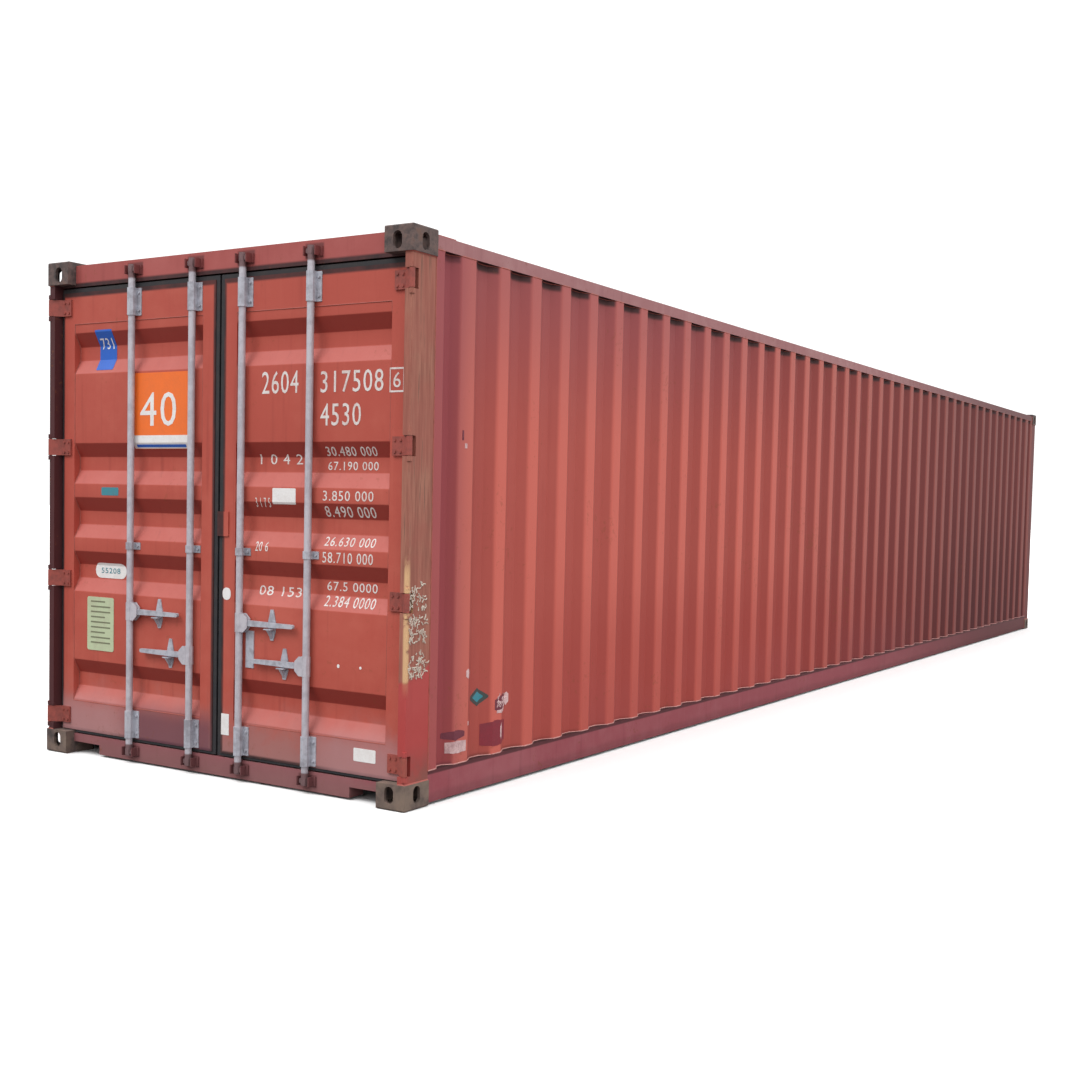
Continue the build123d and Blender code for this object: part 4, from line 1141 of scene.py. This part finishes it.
@dataclass(frozen=True)
class Marking:
    """A label on a door, or a line of plain digits where it has words."""

    name: str
    finish: Plain
    y_range: Point2
    z_range: Point2
    radius: float = 0.006
    lift: float = 0.0012
    words: str = ""

    def mesh(self, name: str) -> bpy.types.Mesh:
        """Cuts the flat figure at the folds, gives it thickness and lays it on the door.

        Args:
            name: Name of the mesh.

        Returns:
            The closed mesh.
        """
        low, high = zip(sorted(self.y_range), sorted(self.z_range))
        flat = digit_figure(low, high, self.words) if self.words else rounded_plate(low, high, self.radius)
        cuts = [((0.0, z, 0.0), (0.0, 1.0, 0.0)) for z, _ in RELIEF.outline()]
        cuts += [((side.value * y, 0.0, 0.0), (1.0, 0.0, 0.0)) for side in Side
                 for y in (RELIEF.inner_y, RELIEF.outer_y)]
        for place, normal in cuts:
            parts = flat.verts[:] + flat.edges[:] + flat.faces[:]
            bmesh.ops.bisect_plane(flat, geom=parts, plane_co=place, plane_no=normal, dist=1e-5)
        result = bmesh.ops.extrude_face_region(flat, geom=flat.faces[:])
        raised = {item for item in result["geom"] if isinstance(item, bmesh.types.BMVert)}
        for vertex in flat.verts:
            y, z = vertex.co.x, vertex.co.y
            off = self.lift if vertex in raised else -0.0004
            vertex.co = Vector((RELIEF.face_depth(y, z) - off - HALF_LENGTH, y, z))
        return closed_mesh(name, flat)


def plate_line(row: int) -> Marking:
    """One of the small stamped lines on the approval plate.

    Args:
        row: Its number from the top; every third line is short.

    Returns:
        The line.
    """
    z = 0.818 - row * 0.027
    width = 0.150 if row % 3 else 0.110
    y_range = (0.928, 0.928 - width)
    return Marking(f"plate_line_{row}", DARK_INK, y_range, (z - 0.004, z + 0.004), 0.002, 0.0027)


RIGHT_DIGITS = (
    ("2604", (-0.281, -0.512), (1.874, 1.979)),
    ("317508", (-0.649, -1.020), (1.872, 1.971)),
    ("6", (-1.078, -1.120), (1.885, 1.953)),
    ("4530", (-0.650, -0.892), (1.720, 1.822)),
    ("1 0 4 2", (-0.244, -0.514), (1.542, 1.590)),
    ("3 1 7 5", (-0.245, -0.340), (1.337, 1.382)),
    ("20 6", (-0.247, -0.330), (1.126, 1.172)),
    ("08 153", (-0.248, -0.519), (0.915, 0.960)),
    ("30.480 000", (-0.670, -0.971), (1.582, 1.624)),
    ("67.190 000", (-0.671, -0.971), (1.517, 1.556)),
    ("3.850 000", (-0.672, -0.973), (1.375, 1.421)),
    ("8.490 000", (-0.672, -0.973), (1.300, 1.350)),
    ("26.630 000", (-0.674, -0.975), (1.166, 1.208)),
    ("58.710 000", (-0.674, -0.975), (1.088, 1.138)),
    ("67.5 0000", (-0.675, -0.976), (0.958, 1.000)),
    ("2.384 0000", (-0.676, -0.977), (0.885, 0.934)),
)
MARKINGS = {
    Side.RIGHT: (
        Marking("white_tag", PAPER_WHITE, (-0.356, -0.503), (1.353, 1.429)),
        Marking("foot_tag", PAPER_WHITE, (-0.880, -1.010), (0.186, 0.247)),
        Marking("sill_tag", PAPER_WHITE, (-0.034, -0.086), (0.215, 0.320), 0.003),
        Marking("round_tag", PAPER_WHITE, (-0.036, -0.090), (0.880, 0.940), 0.024),
        Marking("dot_a", PAPER_WHITE, (-0.772, -0.786), (0.605, 0.622)),
        Marking("dot_b", PAPER_WHITE, (-0.905, -0.918), (0.609, 0.622)),
        Marking("digit_frame_0", WHITE_MARK, (-1.056, -1.142), (1.966, 1.974), 0.001, 0.0009),
        Marking("digit_frame_1", WHITE_MARK, (-1.056, -1.142), (1.864, 1.872), 0.001, 0.0009),
        Marking("digit_frame_2", WHITE_MARK, (-1.056, -1.064), (1.872, 1.966), 0.001, 0.0009),
        Marking("digit_frame_3", WHITE_MARK, (-1.134, -1.142), (1.872, 1.966), 0.001, 0.0009),
        *(Marking(f"digits_{index:02d}", WHITE_MARK, y_range, z_range, lift=0.0009, words=words)
          for index, (words, y_range, z_range) in enumerate(RIGHT_DIGITS)),
    ),
    Side.LEFT: (
        Marking("blue_sticker", BLUE, (0.909, 0.782), (2.026, 2.233)),
        Marking("orange_board", ORANGE, (0.611, 0.213), (1.616, 2.000), 0.004),
        Marking("orange_board_band", PAPER_WHITE, (0.609, 0.215), (1.618, 1.684), 0.003, 0.0020),
        Marking("orange_board_line", BLUE, (0.590, 0.234), (1.624, 1.638), 0.003, 0.0027),
        Marking("teal_sticker", TEAL, (0.852, 0.722), (1.375, 1.417)),
        Marking("oval_label", PAPER_WHITE, (0.936, 0.698), (0.941, 1.020), 0.038),
        Marking("approval_plate", PALE_GREEN, (0.956, 0.752), (0.560, 0.842), 0.012, 0.0022),
        *(plate_line(row) for row in range(9)),
        Marking("digits_00", PAPER_WHITE, (0.560, 0.300), (1.730, 1.900), lift=0.0021, words="40"),
        Marking("digits_01", PAPER_WHITE, (0.890, 0.800), (2.135, 2.190), lift=0.0021, words="731"),
        Marking("digits_02", TEAL, (0.890, 0.745), (0.967, 0.995), lift=0.0021, words="55208"),
    ),
}


@dataclass(frozen=True)
class Leaf(SubAssembly):
    """A door's pressed sheet and its seams, fasteners, seal strips and markings."""

    side: Side
    bend_radius: float = 0.016
    rows: int = 30
    thickness: float = 0.002
    dent_depth: float = 0.004
    weld_inset: float = 0.0015
    bolt_depth: float = 0.0052
    bolt_steps: Point2 = (-0.036, 0.029)
    bolt_heights: tuple[float, ...] = (0.155, 0.245, 2.315, 2.403)
    guide_height: float = 1.120
    hinge_heights: tuple[float, ...] = (0.200, 0.931, 1.625, 2.356)
    seal_depth: float = 0.1055
    strip_depth: float = 0.103
    strip_thickness: float = 0.003
    strips: tuple[tuple[float, ...], ...] = ((0.032, 0.056, 0.125, 2.432), (1.124, 1.148, 0.125, 2.432),
                                             (0.056, 1.124, 0.125, 0.149), (0.056, 1.124, 2.408, 2.432))

    @property
    def body(self) -> str:
        """The door that its pieces ride on."""
        return f"{self.side.label}_door"

    def sheet(self) -> None:
        """Pressed door sheet with its five level recesses."""
        name = f"pressed_panel_{self.side.label}"
        source = path_mesh(name, [[(-z, depth, 0.0) for z, depth in reversed(RELIEF.outline())]])
        values = (RELIEF.outer_y - RELIEF.inner_y, self.bend_radius, self.rows, self.thickness,
                  self.dent_depth, 8.0 + self.side.value)
        mesh = folded_sheet_tree().bake(name, source, DOOR_PAINT, *values)
        low_y = RELIEF.inner_y if self.side is Side.LEFT else -RELIEF.outer_y
        # This placing mirrors the sheet, so its faces are turned back.
        mesh.transform(Matrix(((0, 1, 0, PANEL_FACE - HALF_LENGTH), (0, 0, 1, low_y), (-1, 0, 0, 0),
                               (0, 0, 0, 1))))
        mesh.flip_normals()
        self.add(name, mesh, slot="red_paint", replaces=f"{self.side.label}_door_panel", smooth=35)

    def welds(self) -> None:
        """Seams along the four edges of the door sheet."""
        sign = self.side.value
        runs = []
        for y in (RELIEF.inner_y + self.weld_inset, RELIEF.outer_y - self.weld_inset):
            runs.append([(PANEL_FACE + depth - HALF_LENGTH, sign * y, z) for z, depth in RELIEF.outline()])
        x = PANEL_FACE - HALF_LENGTH - 0.0005
        for z in (RELIEF.low + 0.001, RELIEF.high - 0.001):
            runs.append([(x, sign * RELIEF.inner_y, z), (x, sign * RELIEF.outer_y, z)])
        self.beads(f"panel_weld_{self.side.label}", runs, WELD_PAINT, 0.0028, 0.012, 5.0)

    def bracket_bolts(self) -> None:
        """Bolts through the flanges of each bearing bracket and each guide."""
        points = []
        for bar_y in BAR_Y:
            for step in self.bolt_steps:
                y = self.side.value * bar_y + step
                points += [(LEAF_FACE - self.bolt_depth - HALF_LENGTH, y, z) for z in self.bolt_heights]
                points.append((PANEL_FACE - self.bolt_depth - HALF_LENGTH, y, self.guide_height))
        self.fasteners(f"bracket_bolts_{self.side.label}", BRACKET_BOLT, points, self.side.value + 4)

    def hinge_rivets(self) -> None:
        """Rivet heads on each hinge blade."""
        x = LEAF_FACE - 0.0105 - HALF_LENGTH
        points = [(x, self.side.value * y, z + step) for z in self.hinge_heights for y in (1.100, 1.132)
                  for step in (-0.026, 0.026)]
        self.fasteners(f"hinge_rivets_{self.side.label}", HINGE_RIVET, points, self.side.value + 8)

    def seal_rivets(self) -> None:
        """Rivets through the seal's strips, on the inner face of the leaf."""
        x = self.seal_depth - HALF_LENGTH
        sign = self.side.value
        points = [(x, sign * y, 0.150 + 0.135 * index) for index in range(17) for y in (0.044, 1.136)]
        points += [(x, sign * (0.140 + 0.150 * index), z) for index in range(7) for z in (0.137, 2.420)]
        self.fasteners(f"seal_rivets_{self.side.label}", SEAL_RIVET, points, sign + 12)

    def seal_strips(self) -> None:
        """Flat strips that hold the seal, on the inner face of the leaf."""
        shape = bmesh.new()
        for low_y, high_y, low_z, high_z in self.strips:
            y = self.side.value * (low_y + high_y) / 2
            middle = Matrix.Translation((self.strip_depth - HALF_LENGTH, y, (low_z + high_z) / 2))
            size = Matrix.Diagonal((self.strip_thickness, high_y - low_y, high_z - low_z, 1.0))
            bmesh.ops.create_cube(shape, size=1.0, matrix=middle @ size)
        name = f"seal_strips_{self.side.label}"
        self.add(name, closed_mesh(name, shape), ZINC)

    def markings(self) -> None:
        """Labels and digits."""
        for marking in MARKINGS[self.side]:
            name = f"{self.side.label}_{marking.name}"
            self.add(name, marking.mesh(name), marking.finish)

    def build(self) -> None:
        """Adds everything that the scene gives this door."""
        self.sheet()
        self.welds()
        self.bracket_bolts()
        self.hinge_rivets()
        self.seal_rivets()
        self.seal_strips()
        self.markings()


@dataclass(frozen=True)
class Deck(SubAssembly):
    """Plywood floor boards and the screws that hold them."""

    rows: int = 5
    gap: float = 0.003
    thinner: float = 0.0008
    unevenness: float = 0.0006
    screw_rows: int = 39
    screws_across: int = 5
    end_margin: float = 0.045
    edge_margin: float = 0.04

    def build(self) -> None:
        """Two columns of boards in place of the plain slab, screwed down in rows."""
        low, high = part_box("floor_boards")
        length = (high.x - low.x) / self.rows
        width = (high.y - low.y) / 2
        points = [(low.x + (index + 0.5) * length, low.y + (column + 0.5) * width, (low.z + high.z) / 2)
                  for index in range(self.rows) for column in range(2)]
        size = (length - self.gap, width - self.gap, high.z - low.z - self.thinner)
        source = raw_mesh("deck_points", points)
        boards = deck_tree().bake("deck_boards", source, PLYWOOD, size, self.unevenness, 5)
        self.add("deck_boards", boards, slot="floor_timber", replaces="floor_boards")
        along = (high.x - low.x - 2 * self.end_margin) / (self.screw_rows - 1)
        across = (width - 2 * self.edge_margin) / (self.screws_across - 1)
        ys = [low.y + width * column + self.edge_margin + step * across
              for column in range(2) for step in range(self.screws_across)]
        screws = [(low.x + self.end_margin + index * along, y, high.z - 0.0012)
                  for index in range(self.screw_rows) for y in ys]
        self.fasteners("deck_screws", DECK_SCREW, screws, 3)


@dataclass(frozen=True)
class WallMark:
    """A thin mark that follows the folds of the right wall."""

    name: str
    finish: Plain
    x_range: Point2
    z_range: Point2
    taper: float = 0.0
    ragged: float = 0.12
    lift: float = 0.0016

    def mesh(self) -> bpy.types.Mesh:
        """Lays the mark on the folds, its upper and lower edges ragged.

        Returns:
            The closed mesh.
        """
        picker = random.Random(self.name)
        low_x, high_x = self.x_range
        low_z, high_z = self.z_range
        middle, reach = (low_z + high_z) / 2, (high_z - low_z) / 2
        places = {low_x + (high_x - low_x) * step / 8 for step in range(9)}
        places |= {x for x, _ in FOLDS.outline() if low_x < x < high_x}
        shape = bmesh.new()
        rings = []
        for x in sorted(places):
            y = FOLDS.right_face(x)
            half = reach * (1 - self.taper * abs(2 * (x - low_x) / (high_x - low_x) - 1))
            low = middle - half * (1 - picker.random() * self.ragged)
            high = middle + half * (1 - picker.random() * self.ragged)
            corners = ((-self.lift, low), (-self.lift, high), (0.0005, high), (0.0005, low))
            rings.append([shape.verts.new((x, y + off, z)) for off, z in corners])
        for first, second in zip(rings, rings[1:]):
            for side in range(4):
                shape.faces.new((first[side - 1], first[side], second[side], second[side - 1]))
        shape.faces.new(rings[0])
        shape.faces.new(rings[-1])
        return closed_mesh(self.name, shape)


WALL_MARK_LIST = (
    WallMark("mark_dot_a", PINK_MARK, (-5.678, -5.660), (1.632, 1.656)),
    WallMark("mark_slash", PURPLE_STAIN, (-5.700, -5.688), (1.668, 1.716)),
    WallMark("mark_dot_b", PINK_MARK, (-5.634, -5.600), (0.550, 0.600), 0.4),
    WallMark("mark_teal_edge", DARK_GREEN, (-5.556, -5.430), (0.400, 0.492), 0.9, 0.05, 0.0012),
    WallMark("mark_teal", TEAL, (-5.530, -5.458), (0.420, 0.474), 0.9, 0.05),
    WallMark("mark_pale_a", PINK_MARK, (-5.262, -5.222), (0.376, 0.452), 0.4, 0.25),
    WallMark("mark_pale_b", PINK_MARK, (-5.372, -5.272), (0.352, 0.374), 0.3, 0.25),
    WallMark("mark_dark_a", PURPLE_STAIN, (-5.390, -5.256), (0.346, 0.452), 0.5, 0.18, 0.0012),
    WallMark("mark_touched_up", TOUCHED_UP, (-5.470, -5.256), (0.190, 0.330), 0.25, 0.10, 0.0012),
    WallMark("mark_pink_dash", PINK_MARK, (-5.340, -5.314), (0.214, 0.312), 0.4, 0.30),
    WallMark("mark_pink_dot", PINK_MARK, (-5.612, -5.592), (0.326, 0.346)),
    WallMark("mark_stain", PURPLE_STAIN, (-5.780, -5.640), (0.268, 0.322), 0.5, 0.25, 0.0012),
    WallMark("mark_pink", PINK_MARK, (-5.758, -5.628), (0.206, 0.268), 0.15, 0.10),
)


@dataclass(frozen=True)
class WallMarks(SubAssembly):
    """Marks and scribbles on the right wall and on the post beside it."""

    chalk_bands: tuple[tuple[float, float, int], ...] = ((0.890, 1.010, 40), (0.745, 0.865, 62),
                                                         (0.585, 0.700, 52))

    def chalk(self) -> None:
        """Scribbled strokes on the outer face of the rear right post."""
        picker = random.Random(40)
        runs = []
        for low_z, high_z, count in self.chalk_bands:
            for _ in range(count):
                x = picker.uniform(-6.074, -5.952)
                z = picker.uniform(low_z, high_z)
                turn = picker.choice((0.2, 1.1, 1.5, 2.1)) + picker.uniform(-0.25, 0.25)
                reach = picker.uniform(0.010, 0.030)
                bend = picker.uniform(-0.008, 0.008)
                run = []
                for share in (0.0, 0.2, 0.4, 0.6, 0.8, 1.0):
                    sag = bend * math.sin(share * math.pi)
                    run.append((x + reach * share * math.cos(turn) + sag, -FRAME_Y - 0.0002,
                                z + reach * share * math.sin(turn) - sag))
                runs.append(run)
        self.beads("chalk_strokes", runs, CHALK, 0.0034, 0.006, 9.0)

    def scribble(self) -> None:
        """Worn strokes where a number on the wall was painted over."""
        picker = random.Random(12)
        runs = []
        for _ in range(16):
            x = picker.uniform(-5.375, -5.262)
            z = picker.uniform(0.362, 0.425)
            places = [x + step * 0.004 * picker.choice((-1, 1, 2)) for step in range(4)]
            runs.append([(place, FOLDS.right_face(place) - 0.0018, z + step * 0.009)
                         for step, place in enumerate(places)])
        self.beads("wall_scribble", runs, PINK_MARK, 0.0022, 0.006, 4.0)

    def build(self) -> None:
        """Adds the chalk, the marks and the strokes over them."""
        self.chalk()
        for mark in WALL_MARK_LIST:
            self.add(mark.name, mark.mesh(), mark.finish)
        self.scribble()


# A CAD node takes the finish of the first key that its name contains.
CAD_FINISHES: dict[str, Finish] = {
    "casting_": CAST_STEEL,
    "rear_post_right": POST_PAINT,
    "rear_post_left": SHADED_PAINT,
    "front_post": FRAME_PAINT,
    "roof": ROOF_PAINT,
    "front_wall": SIDE_PAINT,
    "door_header": HEADER_PAINT,
    "door_sill": SILL_PAINT,
    "front_header": FRAME_PAINT,
    "front_sill": FRAME_PAINT,
    "top_rail": TOP_RAIL_PAINT,
    "bottom_rail": RAIL_PAINT,
    "cross_members": COATING,
    "gooseneck_tunnel": COATING,
    "_door_frame": DOOR_PAINT,
    "_door_gasket": SEAL,
    "_door_hinges": PAINTED_FORGING,
    "_door_brackets": FORGED,
    "_bar": ZINC,
    "_handle": FORGED,
}


def dress_cad(nodes: dict[str, bpy.types.Object]) -> None:
    """Gives every shown CAD node its finish.

    Args:
        nodes: The nodes by name.
    """
    for name, node in nodes.items():
        finish = next((finish for key, finish in CAD_FINISHES.items() if key in name), None)
        if finish:
            node.data.materials.clear()
            node.data.materials.append(material_of(finish))
            node.data.polygons.foreach_set("material_index", [0] * len(node.data.polygons))


# Stage


@dataclass(frozen=True)
class Studio:
    """White floor, white surroundings, soft daylight and the photograph's camera."""

    place: Point3 = (-10.7269, -4.8653, 1.3841)
    yaw: float = 31.1807
    pitch: float = -2.9196
    roll: float = 1.3231
    lens: float = 44.4502
    shift: float = 0.03
    horizon: float = 0.42
    zenith: float = 1.30
    open_side: float = 0.75
    sun_strength: float = 1.35
    sun_from: Point3 = (-0.70, 0.32, 1.0)
    floor_reach: float = 120.0

    def camera(self) -> None:
        """Places the camera where the photograph was taken from."""
        yaw, pitch, roll = (math.radians(angle) for angle in (self.yaw, self.pitch, self.roll))
        ahead = Vector((math.cos(pitch) * math.cos(yaw), math.cos(pitch) * math.sin(yaw), math.sin(pitch)))
        level = ahead.cross(Vector((0, 0, 1))).normalized()
        upright = level.cross(ahead)
        right = level * math.cos(roll) + upright * math.sin(roll)
        up = upright * math.cos(roll) - level * math.sin(roll)
        data = bpy.data.cameras.new("camera")
        data.lens = self.lens
        data.shift_x = -self.shift
        data.shift_y = self.shift
        data.clip_end = 500.0
        camera = shown("camera", data)
        camera.matrix_world = Matrix((*zip(right, up, -ahead, self.place), (0, 0, 0, 1)))
        bpy.context.scene.camera = camera

    def floor(self) -> None:
        """Large white floor that only shows the soft contact shadow."""
        reach = self.floor_reach
        corners = [(x * reach, y * reach, -0.002) for x, y in ((-1, -1), (1, -1), (1, 1), (-1, 1))]
        mesh = raw_mesh("floor", corners, faces=[(0, 1, 2, 3)])
        shader = Shader("white_floor", (0.16, 0.15, 0.145))
        shader.tint(shader.node("ShaderNodeLightPath", output="Is Camera Ray"), (0.95, 0.95, 0.95))
        mesh.materials.append(shader.finish(0.9, specular=0.1))
        shown("floor", mesh)

    def world(self) -> None:
        """Soft sky, brighter overhead and on the open side, white where the camera sees it."""
        world = bpy.data.worlds.new("daylight")
        bpy.context.scene.world = world
        world.use_nodes = True
        graph = Graph(world.node_tree)
        _, across, up = graph.separate(graph.node("ShaderNodeTexCoord", output="Generated"))
        light = up.step(-0.05, 0.90) * self.zenith + across.step(0.1, -0.9) * self.open_side + self.horizon
        seen = graph.node("ShaderNodeLightPath", output="Is Camera Ray")
        strength = (1.0 - seen) * light + seen * 1.2 + seen.sibling("Is Glossy Ray") * 0.10
        values = {"Color": (1.0, 1.0, 1.0, 1.0), "Strength": strength}
        graph.end("ShaderNodeOutputWorld", graph.node("ShaderNodeBackground", values=values))

    def sun(self) -> None:
        """Broad, weak sun through cloud, from the left of the doors."""
        data = bpy.data.lights.new("sun", "SUN")
        data.energy = self.sun_strength
        data.angle = math.radians(30)
        sun = shown("sun", data)
        sun.rotation_euler = Vector(self.sun_from).normalized().to_track_quat("Z", "Y").to_euler()

    def build(self) -> None:
        """Sets the whole stage."""
        bpy.context.scene.view_settings.view_transform = "Standard"
        self.camera()
        self.floor()
        self.world()
        self.sun()


def main() -> None:
    """Builds the scene on the frame."""
    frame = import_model()
    dress_cad(frame["nodes"])
    for side in Side:
        SideWall(side).build()
        Leaf(side).build()
    Deck().build()
    WallMarks().build()
    Studio().build()


if __name__ == "__main__":
    main()
